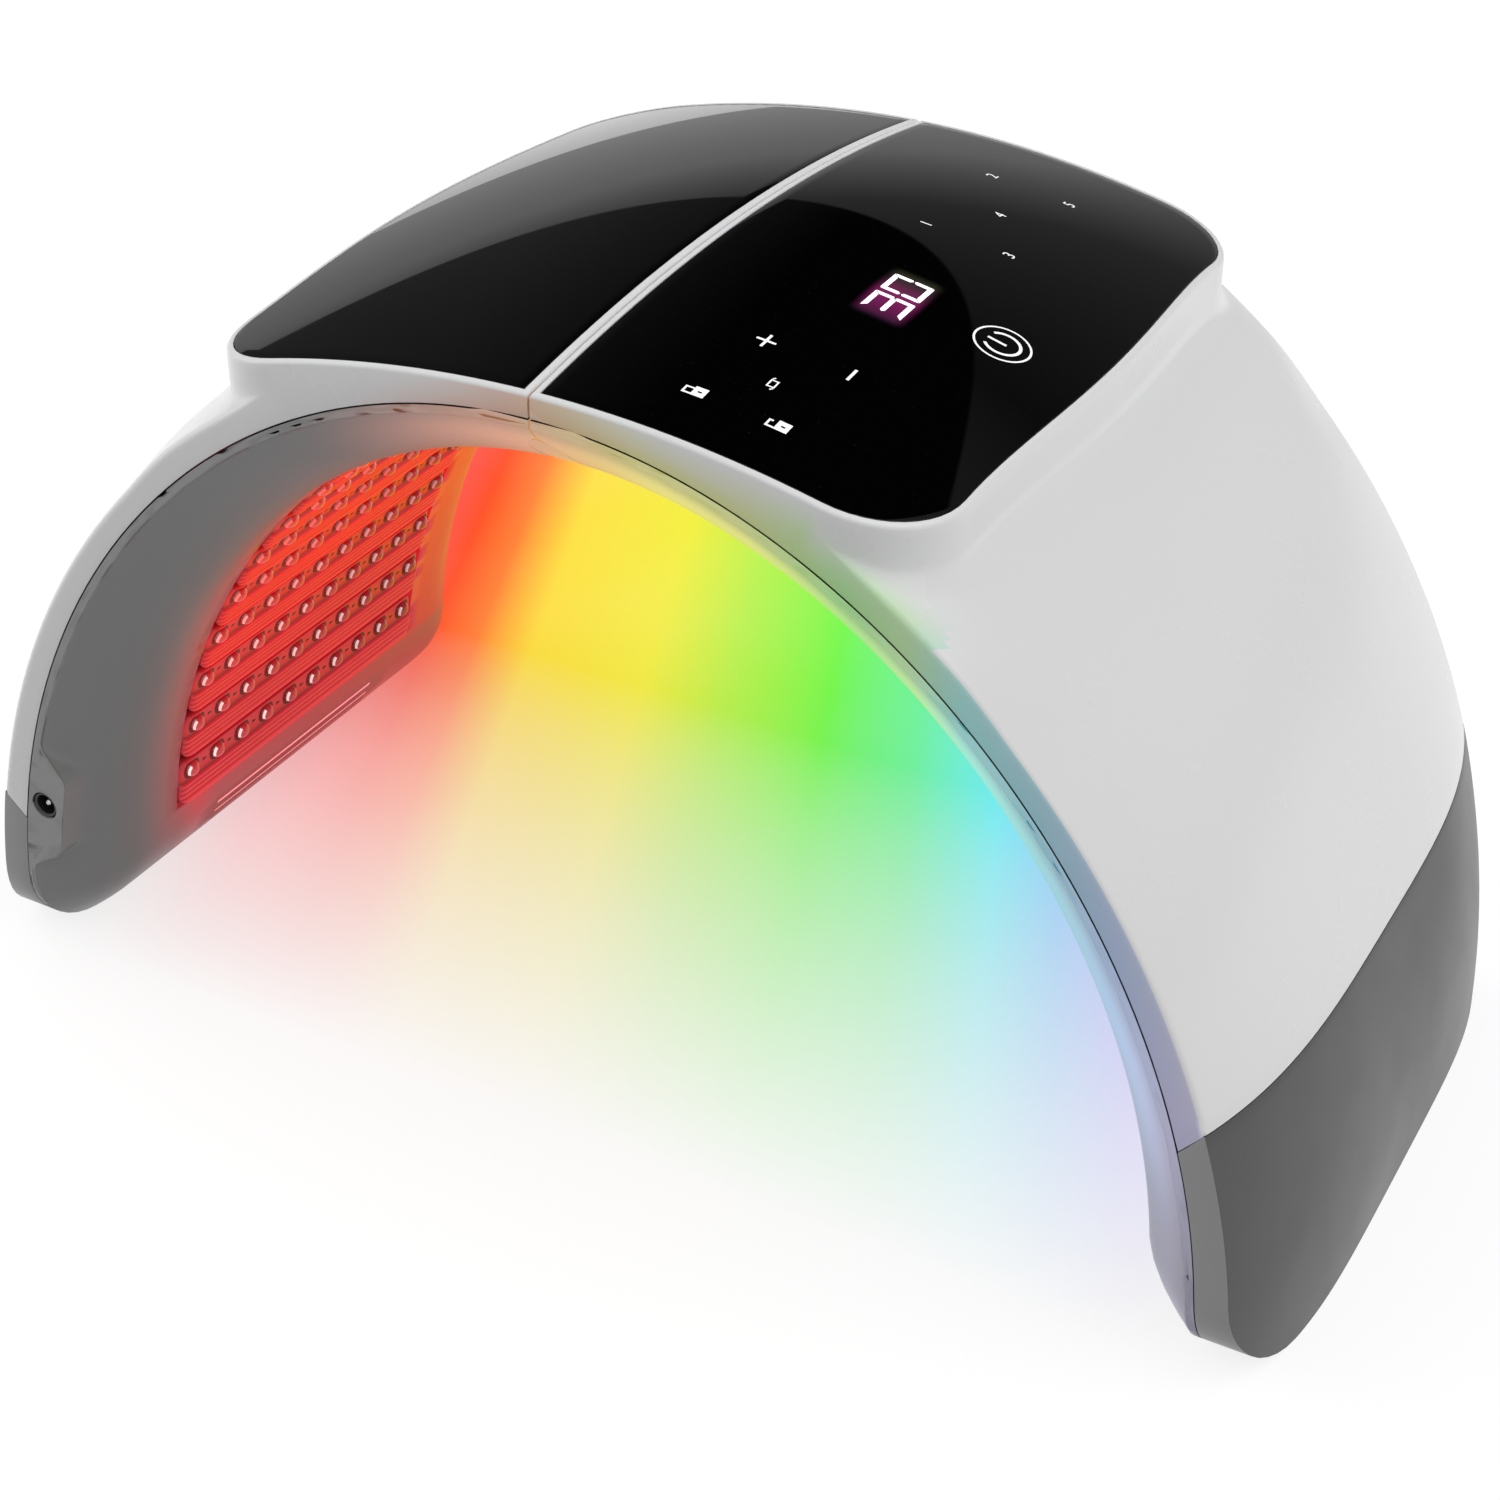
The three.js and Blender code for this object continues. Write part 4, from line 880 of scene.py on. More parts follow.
    def glow_at(self, up: float, y: float) -> float:
        """Share of the panel's painted glow that a point of the pad shows."""
        past_side = max(abs(y) - self.window_half, 0.0) / (70.0 if y > 0 and self.side is Side.LEFT else 9.0)
        below = max(self.window[0] - up, 0.0) / (14 + 30 * ramp((y + 75) / 110))
        above = max(up - self.window[1], 0.0) / 26
        share = 1 - 0.55 * ramp((-y - 48) / 12) - 0.35 * ramp((self.window[0] + 1 - up) / 4) * (y > -48)
        return share * math.exp(-math.hypot(past_side, below, above) ** 1.5)

    def painted_light_at(self, spot: Vector) -> float:
        """Share of the painted coloured light that the front edge shows at a point."""
        if self.side is Side.RIGHT:
            return 0.3 + 0.7 * ramp((spot.z - 25) / 70)
        return 1 - ramp((spot.x + 4) / 76)

    def face_in(self, bm: Mesh) -> None:
        """Turns the faces towards the space under the arch."""
        flux = sum(f.normal.dot(f.calc_center_median()) * f.calc_area() for f in bm.faces)
        if flux > 0:
            bmesh.ops.reverse_faces(bm, faces=bm.faces)

    def sink(self, bm: Mesh, verts: Sequence[Vert], depth: float) -> list[Edge]:
        """Opens the faces between these vertices, gives the hole walls and returns their far edges."""
        inside = set(verts)
        faces = [f for f in bm.faces if inside.issuperset(f.verts)]
        bmesh.ops.delete(bm, geom=faces, context="FACES")
        rim = [e for e in bm.edges if e.is_boundary and inside.issuperset(e.verts)]
        weigh(bm, rim, 0.35)

        def outward(co: Vector) -> Vector:
            """Point moved out of the arch by the hole's depth."""
            up = ARCH.foot_of(co.x, co.z)
            _, way = ARCH.line(up)
            return Vector((co.x - way.y * depth, co.y, co.z + way.x * depth))

        return extruded(bm, rim, outward)

    def to_line(self, spot: Vector) -> Vector:
        """Point just under the parting line over a point of the pad's edge."""
        if spot.z > ARCH.crown - 14 and spot.x < 14:
            return Vector((spot.x, spot.y, ARCH.crown - 0.3))
        line = ARCH.place(ARCH.foot_of(spot.x, spot.z), -0.3)
        return Vector((line.x, spot.y, line.y))

    def bore(self, bm: Mesh, inlet: Sequence[Edge]) -> None:
        """Fills the shoulder's front face round the inlet's hole and sinks the hole."""
        up, depth = self.inlet
        centre = ARCH.place(up, -depth)
        ends = [v for e in inlet for v in e.verts if sum(v in o.verts for o in inlet) == 1]
        sides, tops = [], []
        for vert in ends:
            steps = [vert]
            while steps:
                vert = steps.pop()
                for edge in vert.link_edges:
                    other = edge.other_vert(vert)
                    beside = abs(other.co.y - vert.co.y) < 1e-6 and other.co.x > vert.co.x + 1.0
                    if edge not in inlet and beside:
                        sides.append(edge)
                        steps.append(other)
            tops.append(vert)
        lid = bm.edges.new(tops)
        ring = bmesh.ops.create_circle(bm, segments=40, radius=self.inlet_radius)["verts"]
        turn = (Matrix.Translation((centre.x, -ARCH.half_depth, centre.y))
                @ Matrix.Rotation(math.pi / 2, 4, "X"))
        bmesh.ops.transform(bm, matrix=turn, verts=ring)
        circle = [e for e in bm.edges if e.verts[0] in ring and e.verts[1] in ring]
        bmesh.ops.triangle_fill(bm, use_beauty=True, edges=[*inlet, *sides, lid, *circle])
        weigh(bm, circle, 0.3)
        extruded(bm, circle, lambda co: Vector((co.x, co.y + 7.0, co.z)))


# Light panels.


@dataclass
class LensPanel:
    """Stepped light panel of one half: ribbed tongues with a row of beads on each."""

    side: Side
    first: float = 47.3
    pitch: float = 17.8
    top_drop: float = 32.0
    bead_line: float = 0.68
    half: float = 59.6
    beads: int = 10
    bead_pitch: float = 12.0
    # Turn in degrees of the dome faces that take the painted glint.
    spark: Pair = (-140.0, -75.0)
    corner: float = 4.2
    # Each point of a step: share of the step, depth, and its level of painted shading, light on the rib
    # crests and darker in the valleys, bead band, ledge and groove.
    profile: tuple[tuple[float, float, float], ...] = (
        (0.02, 21.5, 0.35), (0.04, 22.3, 0.7), (0.07, 22.6, 1.0), (0.12, 22.6, 0.95), (0.15, 22.1, 0.45),
        (0.165, 22.0, 0.42), (0.185, 22.4, 0.9), (0.225, 22.5, 1.0), (0.25, 22.1, 0.5), (0.27, 22.0, 0.42),
        (0.29, 22.4, 0.9), (0.33, 22.5, 1.0), (0.355, 22.1, 0.5), (0.375, 22.0, 0.42), (0.395, 22.4, 0.85),
        (0.43, 22.4, 0.9), (0.46, 21.6, 0.4), (0.48, 21.3, 0.36), (0.52, 21.25, 0.6), (0.58, 21.25, 0.66),
        (0.68, 21.25, 0.7), (0.78, 21.25, 0.66), (0.84, 21.3, 0.62), (0.87, 21.7, 0.8), (0.895, 21.6, 0.7),
        (0.91, 20.9, 0.35),
    )

    def stretch(self, up: float) -> float:
        """Length at the beads' depth for each millimetre along the arch."""
        here, ahead = ARCH.place(up, -21.4), ARCH.place(up + 0.3, -21.4)
        return (ahead - here).length / 0.3

    def row_heights(self) -> list[float]:
        """Lengths from the foot of the rows of beads."""
        heights, up = [], self.first
        while up < ARCH.length - self.top_drop:
            heights.append(up)
            up += self.pitch / self.stretch(up)
        return heights

    def along(self, row_up: float, share: float) -> float:
        """Length from the foot of a share of a row's step."""
        return row_up + (share - self.bead_line) * self.pitch / self.stretch(row_up)

    def half_at(self, share: float) -> float:
        """Half width of a tongue at a share of its step, rounded at its corners."""
        low, high = self.profile[0][0], self.profile[-1][0]
        near = min(share - low, high - share) * self.pitch
        if near >= self.corner:
            return self.half
        return self.half - self.corner + math.sqrt(max(self.corner**2 - (self.corner - near) ** 2, 0.0))

    def real(self, up: float, y: float, depth: float) -> Vector:
        """Real point of a place along, across and under the arch."""
        plane = ARCH.place(up, -depth)
        return Vector((plane.x, y, plane.y))

    def build(self, tongue: Material, bead: Material, ring: Material, spark: Material) -> Object:
        """Builds the panel and dresses it.

        Args:
            tongue: finish of the ribbed steps.
            bead: finish of the beads.
            ring: dark finish: painted shade on the rings and the base in the grooves, and the small dark
                marks between the beads.
            spark: bright finish of the glint painted on each bead.

        Returns:
            The finished object.
        """
        bm = new_mesh("row_level", "step_painted_shading")
        heights = self.row_heights()
        level = bm.verts.layers.float["row_level"]
        for number, up in enumerate(heights):
            before = set(bm.verts)
            self.add_tongue(bm, up)
            self.add_beads(bm, up)
            for vert in bm.verts:
                if vert not in before:
                    vert[level] = number / (len(heights) - 1)
        self.add_base(bm, heights, level)
        self.turn_in(bm)
        panel = piece(f"{self.side.label}_light_panel", bm, [tongue, bead, ring, spark], self.side.body,
                      crease_angle=50)
        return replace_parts(panel, f"{self.side.label}_lens_panel")

    def turn_in(self, bm: Mesh) -> None:
        """Takes the mesh to its place in metres with its faces towards the space under the arch."""
        scale = Matrix.Diagonal((self.side.value * MM, MM, MM, 1))
        bmesh.ops.transform(bm, matrix=scale, verts=bm.verts)
        for face in bm.faces:
            face.normal_update()
            middle = face.calc_center_median()
            if face.normal.dot(Vector((-middle.x, 0, 0.06 - middle.z)).normalized()) < -0.02:
                face.normal_flip()

    def add_tongue(self, bm: Mesh, row_up: float) -> None:
        """Adds one ribbed step with rounded ends."""
        shares = [-1.0, -0.992, -0.975, -0.95] + spread(-0.92, 0.92, 12) + [0.95, 0.975, 0.992, 1.0]
        sunk = {1.0: 1.1, 0.992: 0.5, 0.975: 0.14}
        # Painted shading: the profile's levels, darker at the rounded ends and on the walls down to the base.
        light = bm.verts.layers.float["step_painted_shading"]
        net = grid(bm, len(self.profile), len(shares))
        for (i, j), vert in net.items():
            share, depth, level = self.profile[i]
            y = shares[j] * self.half_at(share)
            drop = sunk.get(abs(shares[j]), 0.0)
            vert.co = self.real(self.along(row_up, share), y, depth - drop)
            vert[light] = level * (1 - 0.45 * drop)
        made = set(net.values())
        rim = [e for e in bm.edges if e.is_boundary and e.verts[0] in made and e.verts[1] in made]
        for edge in extruded(bm, rim, lambda co: self.lowered(co, 18.6)):
            for vert in edge.verts:
                vert[light] = 0.12

    def lowered(self, spot: Vector, depth: float) -> Vector:
        """Point under a spot at a depth."""
        up = ARCH.foot_of(spot.x, spot.z)
        return self.real(up, spot.y, depth)

    def add_beads(self, bm: Mesh, row_up: float) -> None:
        """Adds the row's beads, each with its dark ring of painted shade and its painted glint."""
        _, way = ARCH.line(row_up)
        out = Vector((-way.y, 0, way.x))
        foot = self.real(row_up, 0.0, 21.25)
        frame_of = Matrix((Vector((way.x, 0, way.y)), Vector((0, 1, 0)), -out)).transposed().to_4x4()
        for number in range(self.beads):
            y = (number - (self.beads - 1) / 2) * self.bead_pitch
            place = Matrix.Translation(foot + Vector((0, y, 0))) @ frame_of
            self.add_bead(bm, place, 1.25 - 0.6 * number / self.beads)
            if number:
                self.add_notch(bm, place @ Matrix.Translation((0, -self.bead_pitch / 2, 0)))

    def add_bead(self, bm: Mesh, place: Matrix, gleam: float) -> None:
        """Adds one bead: a dark ring of painted shade, a dome and a painted glint, whose painted shading this
        gleam scales.
        """
        profile = [(3.6, 0.03, 2), (3.15, 0.2, 2), (2.75, 0.05, 2), (2.6, 0.75, 1), (2.2, 1.45, 1),
                   (1.3, 2.0, 1), (0.6, 2.28, 1)]
        # Painted shading: dark on the ring, lighter up the dome.
        light = bm.verts.layers.float["step_painted_shading"]
        loop = bmesh.ops.create_circle(bm, segments=14, radius=profile[0][0])["verts"]
        bmesh.ops.translate(bm, verts=loop, vec=(0, 0, profile[0][1]))
        edges = [e for e in bm.edges if e.verts[0] in loop and e.verts[1] in loop]
        added = list(loop)
        for (radius, _, _), (after, height, index) in zip(profile, profile[1:]):
            ratio = after / radius
            edges = extruded(bm, edges, lambda co, r=ratio, h=height: Vector((co.x * r, co.y * r, h)))
            ring_verts = {v for e in edges for v in e.verts}
            for face in {f for e in edges for f in e.link_faces}:
                face.material_index = index
                middle = face.calc_center_median()
                turn = math.degrees(math.atan2(middle.y, middle.x))
                # Faces in this band and turn take the painted glint.
                if index == 1 and 1.2 < height < 1.6 and self.spark[0] < turn < self.spark[1]:
                    face.material_index = 3
            for vert in ring_verts:
                vert[light] = 0.22 if index == 2 else (0.35 + 0.3 * height / 2.28) * gleam
            added += list(ring_verts)
        cap = bmesh.ops.contextual_create(bm, geom=edges)["faces"]
        for face in cap:
            face.material_index = 1
        bmesh.ops.transform(bm, matrix=place, verts=added)

    def add_notch(self, bm: Mesh, place: Matrix) -> None:
        """Adds the small dark wedge between two beads."""
        made = bmesh.ops.create_circle(bm, cap_ends=True, segments=3, radius=1.1)["verts"]
        lifted = place @ Matrix.Translation((0, 0, 0.04))
        bmesh.ops.transform(bm, matrix=lifted @ Matrix.Diagonal((0.7, 1.3, 1, 1)), verts=made)
        for face in {f for v in made for f in v.link_faces}:
            face.material_index = 2

    def add_base(self, bm: Mesh, heights: Sequence[float], level: bmesh.types.BMLayerItem) -> None:
        """Adds the base seen in the grooves, dark as painted shade."""
        ups = spread(self.along(heights[0], 0.0) - 1.5, self.along(heights[-1], 1.0) + 1.5, 60)
        net = grid(bm, len(ups), 5)
        for (i, j), vert in net.items():
            vert.co = self.real(ups[i], (j - 2) / 2 * 61.5, 19.0)
            vert[level] = i / (len(ups) - 1)
            vert[bm.verts.layers.float["step_painted_shading"]] = 0.15
        made = set(net.values())
        for face in bm.faces:
            if made.issuperset(face.verts):
                face.material_index = 2


# Console glass and its marks.


@dataclass
class ConsoleGlass:
    """Black glass of one half, set into the console."""

    side: Side
    inset: float = 2.0
    thickness: float = 2.0

    def half_at(self, x: float) -> float:
        """Half depth of the glass at a place across."""
        centre = CONSOLE.corner_centre
        if x <= centre.x:
            return CONSOLE.half_depth - self.inset
        radius = CONSOLE.corner - self.inset
        return centre.y + math.sqrt(max(radius**2 - (x - centre.x) ** 2, 0.0))

    def build(self, black: Material) -> Object:
        """Builds the glass and dresses it.

        Args:
            black: the polished black finish.

        Returns:
            The finished object.
        """
        bm = new_mesh()
        centre = CONSOLE.corner_centre.x
        radius = CONSOLE.corner - self.inset
        xs = spread(CONSOLE.seam + self.inset, centre, 26)
        xs += [centre + radius * math.sin(math.radians(a)) for a in range(6, 91, 6)]
        shares = spread(-1.0, 1.0, 60)
        net = grid(bm, len(xs), len(shares))
        for (i, j), vert in net.items():
            y = shares[j] * self.half_at(xs[i])
            x = xs[i] + CONSOLE.bow(y) * (xs[i] / xs[-1]) ** 4
            vert.co = Vector((x, y, CONSOLE.dome(x, y)))
        last, end = len(xs) - 1, len(shares) - 1
        loop = [net[i, 0] for i in range(last + 1)] + [net[last, j] for j in range(1, end + 1)]
        loop += [net[i, end] for i in range(last - 1, -1, -1)] + [net[0, j] for j in range(end - 1, -1, -1)]
        edges = edges_between(loop)
        weigh(bm, edges, 1.0)
        extruded(bm, edges, lambda co: Vector((co.x, co.y, co.z - self.thickness)))
        settle(bm, self.side, Vector((50, 0, 150)))
        glass = piece(f"{self.side.label}_console_glass", bm, [black], self.side.body,
                      bevel=0.3)
        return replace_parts(glass, f"{self.side.label}_glass")


@dataclass
class ConsoleMarks:
    """Lit and printed marks on the right glass: digits, power ring, plus, minus, numbers, locks."""

    lift: float = 0.04
    display: Pair = (51.6, -17.5)
    power: Pair = (79.1, -16.4)
    plus: Pair = (36.5, -55.8)
    minus: Pair = (58.7, -55.4)
    setting: Pair = (46.0, -70.2)
    locked: Pair = (32.9, -82.6)
    unlocked: Pair = (54.5, -82.9)
    numbers: tuple[tuple[str, float, float], ...] = (
        ("1", 39.8, 22.9), ("2", 37.7, 67.8), ("3", 62.4, 24.1), ("4", 50.8, 44.0), ("5", 59.9, 68.3),
    )
    figure_half_width: float = 4.4
    figure_half_height: float = 5.3
    stroke: float = 1.3
    stroke_gap: float = 0.16

    def lay(self, verts: Iterable[Vert], at: Pair) -> None:
        """Takes a mark drawn flat (x along its baseline, y up) to its place on the dome."""
        for vert in verts:
            x, y = at[0] - vert.co.y, at[1] + vert.co.x
            vert.co = Vector((x, y, CONSOLE.dome(x, y) + self.lift))

    def bar(self, bm: Mesh, a: Pair, b: Pair, width: float, at: Pair) -> None:
        """Adds a bar between two points."""
        start, end = Vector(a), Vector(b)
        way = (end - start).normalized()
        across = Vector((-way.y, way.x)) * width / 2
        self.patch(bm, [start + across, end + across, end - across, start - across], at)

    def ring(self, bm: Mesh, radius: float, width: float, at: Pair,
             start: float = 0.0, sweep: float = 360.0) -> None:
        """Adds a ring or an arc."""
        full = sweep >= 360
        steps = max(int(sweep / 7.5), 6)
        a = bm.verts.new((radius - width / 2, 0, 0))
        b = bm.verts.new((radius + width / 2, 0, 0))
        edge = bm.edges.new((a, b))
        bmesh.ops.rotate(bm, verts=[a, b], matrix=Matrix.Rotation(math.radians(start), 3, "Z"))
        before = set(bm.verts) - {a, b}
        bmesh.ops.spin(bm, geom=[a, b, edge], cent=(0, 0, 0), axis=(0, 0, 1), angle=math.radians(sweep),
                       steps=steps, use_merge=full)
        self.lay([v for v in bm.verts if v not in before], at)

    def patch(self, bm: Mesh, outline: Sequence[Pair], at: Pair) -> None:
        """Adds a flat patch with this outline."""
        verts = [bm.verts.new((x, y, 0)) for x, y in outline]
        bm.faces.new(verts)
        self.lay(verts, at)

    def digit(self, bm: Mesh, figure: str, at: Pair, offset: float) -> None:
        """Adds a seven-segment figure with mitred strokes and fine gaps.

        Args:
            bm: mesh that takes the figure.
            figure: 3 or 0.
            at: centre of the display.
            offset: place of the figure's centre along the baseline.
        """
        w, h, t, g = self.figure_half_width, self.figure_half_height, self.stroke, self.stroke_gap
        top = ((-w + g, h), (w - g, h), (w - t - g, h - t), (-w + t + g, h - t))
        side = ((w, h - g), (w, g + t / 4), (w - t / 2, g), (w - t, t / 2 + g), (w - t, h - t - g))
        middle = ((-w + t / 2 + g, 0), (-w + t + g, t / 2), (w - t - g, t / 2), (w - t / 2 - g, 0),
                  (w - t - g, -t / 2), (-w + t + g, -t / 2))
        strokes = {"a": (top, 1, 1), "d": (top, 1, -1), "b": (side, 1, 1), "c": (side, 1, -1),
                   "e": (side, -1, -1), "f": (side, -1, 1), "g": (middle, 1, 1)}
        for name in {"3": "abgcd", "0": "abcdef"}[figure]:
            outline, across, rise = strokes[name]
            self.patch(bm, [(x * across + offset, y * rise) for x, y in outline], at)

    def build_digits(self, lit: Material) -> Object:
        """Builds the lit digits."""
        bm = new_mesh()
        self.digit(bm, "3", self.display, -5.3)
        self.digit(bm, "0", self.display, 5.3)
        return self.made(bm, "display_digits", lit, "display_black")

    def padlock(self, bm: Mesh, at: Pair, opened: bool) -> None:
        """Adds a padlock with its keyhole, its shackle shut or open."""
        for a, b, width in (((-1.02, -2.65), (-1.02, 0.65), 1.46), ((1.02, -2.65), (1.02, 0.65), 1.46),
                            ((0.0, -2.65), (0.0, -1.6), 0.6), ((0.0, -0.5), (0.0, 0.65), 0.6)):
            self.bar(bm, a, b, width, at)
        self.bar(bm, (-1.45, 0.6), (-1.45, 2.6), 0.55, at)
        self.bar(bm, (-1.72, 2.7), (1.0, 2.7), 0.55, at)
        self.bar(bm, (0.75, 1.75 if opened else 0.6), (0.75, 2.6), 0.5, at)

    def build_marks(self, printed: Material) -> Object:
        """Builds the printed marks."""
        bm = new_mesh()
        self.ring(bm, 6.95, 0.55, self.power)
        self.ring(bm, 4.4, 0.8, self.power, start=128, sweep=284)
        self.bar(bm, (0, -1.0), (0, 3.9), 0.8, self.power)
        self.bar(bm, (-2.8, 0), (2.8, 0), 0.7, self.plus)
        for y in (-1.45, 1.45):
            self.bar(bm, (0, y - 1.1), (0, y + 1.1), 0.7, self.plus)
        self.bar(bm, (-2.5, 0), (2.5, 0), 0.75, self.minus)
        self.padlock(bm, self.locked, False)
        self.padlock(bm, self.unlocked, True)
        for y in (-0.9, 0.9):
            self.bar(bm, (-1.5, y), (1.5, y), 0.4, self.setting)
            self.bar(bm, (1.25 * y / 0.9, -0.7), (1.25 * y / 0.9, 0.7), 0.4, self.setting)
            self.bar(bm, (1.7 * y / 0.9, y), (2.3 * y / 0.9, y * 0.4), 0.4, self.setting)
        return self.made(bm, "console_marks", printed, "display_black")

    def build_numbers(self, printed: Material) -> list[Object]:
        """Builds the small numbers that label the programs."""
        made = []
        for text, x, y in self.numbers:
            curve = bpy.data.curves.new(f"number_{text}", "FONT")
            curve.body = text
            curve.align_x, curve.align_y = "CENTER", "CENTER"
            curve.size = 4.6
            source = bpy.data.objects.new(f"number_{text}_curve", curve)
            bpy.context.scene.collection.objects.link(source)
            bpy.context.view_layer.update()
            solved = source.evaluated_get(bpy.context.evaluated_depsgraph_get())
            mesh = bpy.data.meshes.new_from_object(solved)
            bpy.data.objects.remove(source)
            bm = bmesh.new()
            bm.from_mesh(mesh)
            bm.edges.layers.float.new("bevel_weight_edge")
            bpy.data.meshes.remove(mesh)
            self.lay(bm.verts, (x, y))
            made.append(self.made(bm, f"program_number_{text}", printed, "display_black"))
        return made

    def made(self, bm: Mesh, name: str, material: Material, slot: str) -> Object:
        """Finishes a mark: faces up, in metres, on the right half."""
        bmesh.ops.remove_doubles(bm, verts=bm.verts, dist=0.001)
        to_metres(bm)
        for face in bm.faces:
            face.normal_update()
            if face.normal.z < 0:
                face.normal_flip()
        return piece(name, bm, [material], Side.RIGHT.body)


# Hinge and inlet.


@dataclass
class CrownHinge:
    """Hinge under the crown: knuckles and leaves of both halves, pin and round end plugs."""

    axis_height: float = 203.0
    radius: float = 5.0
    half_length: float = 80.0
    knuckles: int = 5
    gap: float = 0.5
    pin_radius: float = 2.0
    leaf_length: float = 16.0
    leaf_thickness: float = 1.8

    def turned(self, bm: Mesh, stations: Sequence[Pair]) -> list[Vert]:
        """Adds a turned rod along Y through stations of y and radius."""
        first = stations[0]
        verts = bmesh.ops.create_circle(bm, segments=40, radius=first[1], cap_ends=False)["verts"]
        bmesh.ops.rotate(bm, verts=verts, matrix=Matrix.Rotation(math.pi / 2, 3, "X"))
        bmesh.ops.translate(bm, verts=verts, vec=(0, first[0], self.axis_height))
        ends = [e for e in bm.edges if e.verts[0] in verts and e.verts[1] in verts]
        bmesh.ops.contextual_create(bm, geom=ends)
        made, edges = list(verts), ends
        for (_, before), (y, radius) in zip(stations, stations[1:]):
            ratio = radius / before
            hub = self.axis_height
            edges = extruded(
                bm, edges, lambda co, r=ratio, t=y: Vector((co.x * r, t, hub + (co.z - hub) * r)))
            made += {v for e in edges for v in e.verts}
        bmesh.ops.contextual_create(bm, geom=edges)
        return made

    def build_leaf(self, side: Side, steel: Material) -> Object:
        """Builds one leaf with its knuckles.

        Args:
            side: half that the leaf is screwed to.
            steel: satin steel finish.

        Returns:
            The finished object.
        """
        bm = new_mesh()
        pitch = (self.half_length * 2 + self.gap) / self.knuckles
        top = self.axis_height + self.radius
        first = 0 if side is Side.RIGHT else 1
        for number in range(self.knuckles):
            start = -self.half_length + number * pitch
            stop = start + pitch - self.gap
            if number % 2 == first:
                self.turned(bm, [(start, self.radius - 0.5), (start + 0.15, self.radius - 0.15),
                                 (start + 0.5, self.radius), (stop - 0.5, self.radius),
                                 (stop - 0.15, self.radius - 0.15), (stop, self.radius - 0.5)])
                self.tab(bm, start, stop, 0.0, top)
            else:
                self.tab(bm, start - self.gap, stop + self.gap, self.radius + self.gap, top)
        to_metres(bm, side)
        bmesh.ops.recalc_face_normals(bm, faces=bm.faces)
        leaf = piece(f"{side.label}_hinge_knuckles", bm, [steel], side.body)
        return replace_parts(leaf, f"{side.label}_hinge_leaf")

    def tab(self, bm: Mesh, start: float, stop: float, inner: float, top: float) -> None:
        """Adds the flat stretch of the leaf beside a knuckle, with softened edges."""
        made = bmesh.ops.create_cube(bm, size=1.0)["verts"]
        size = (self.leaf_length - inner, stop - start, self.leaf_thickness)
        middle = (inner + size[0] / 2, (start + stop) / 2, top - self.leaf_thickness / 2)
        bmesh.ops.transform(bm, matrix=Matrix.Translation(middle) @ Matrix.Diagonal((*size, 1)), verts=made)
        edges = [e for e in bm.edges if e.verts[0] in made and e.verts[1] in made]
        bmesh.ops.bevel(bm, geom=edges, offset=0.2, segments=2, profile=0.5, affect="EDGES", material=-1)

    def build_pin(self, steel: Material) -> Object:
        """Builds the pin."""
        bm = new_mesh()
        end = self.half_length - 0.3
        self.turned(bm, [(-end, self.pin_radius - 0.3), (-end + 0.3, self.pin_radius),
                         (end - 0.3, self.pin_radius), (end, self.pin_radius - 0.3)])
        to_metres(bm)
        bmesh.ops.recalc_face_normals(bm, faces=bm.faces)
        pin = piece("crown_pin", bm, [steel], Side.RIGHT.body)
        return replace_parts(pin, "hinge_pin")

    def build_plugs(self, grey: Material) -> Object:
        """Builds the round ends, cut flush with the padded face."""
        bm = new_mesh("panel_glow", "rim_painted_light")
        light_tint = bm.verts.layers.float["rim_painted_light"]
        for end in (-1, 1):
            ys = [end * y for y in (80.9, 81.2, 83, 85, 87, 89, 91, 93, 94.5, 96, 97, 97.6)]
            made = self.turned(bm, [(y, self.radius - (0.3 if k == 0 else 0.0)) for k, y in enumerate(ys)])
            for vert in set(made):
                face = ARCH.crown - ARCH.pillow(ARCH.half_depth - abs(vert.co.y))
                vert.co.z = max(vert.co.z, face + 0.02)
                # The front plug takes the painted light of the front edge.
                vert[light_tint] = 1.2 if end < 0 else 0.0
        bmesh.ops.dissolve_degenerate(bm, dist=0.01, edges=bm.edges)
        to_metres(bm)
        bmesh.ops.recalc_face_normals(bm, faces=bm.faces)
        return piece("hinge_end_plugs", bm, [grey], Side.RIGHT.body)


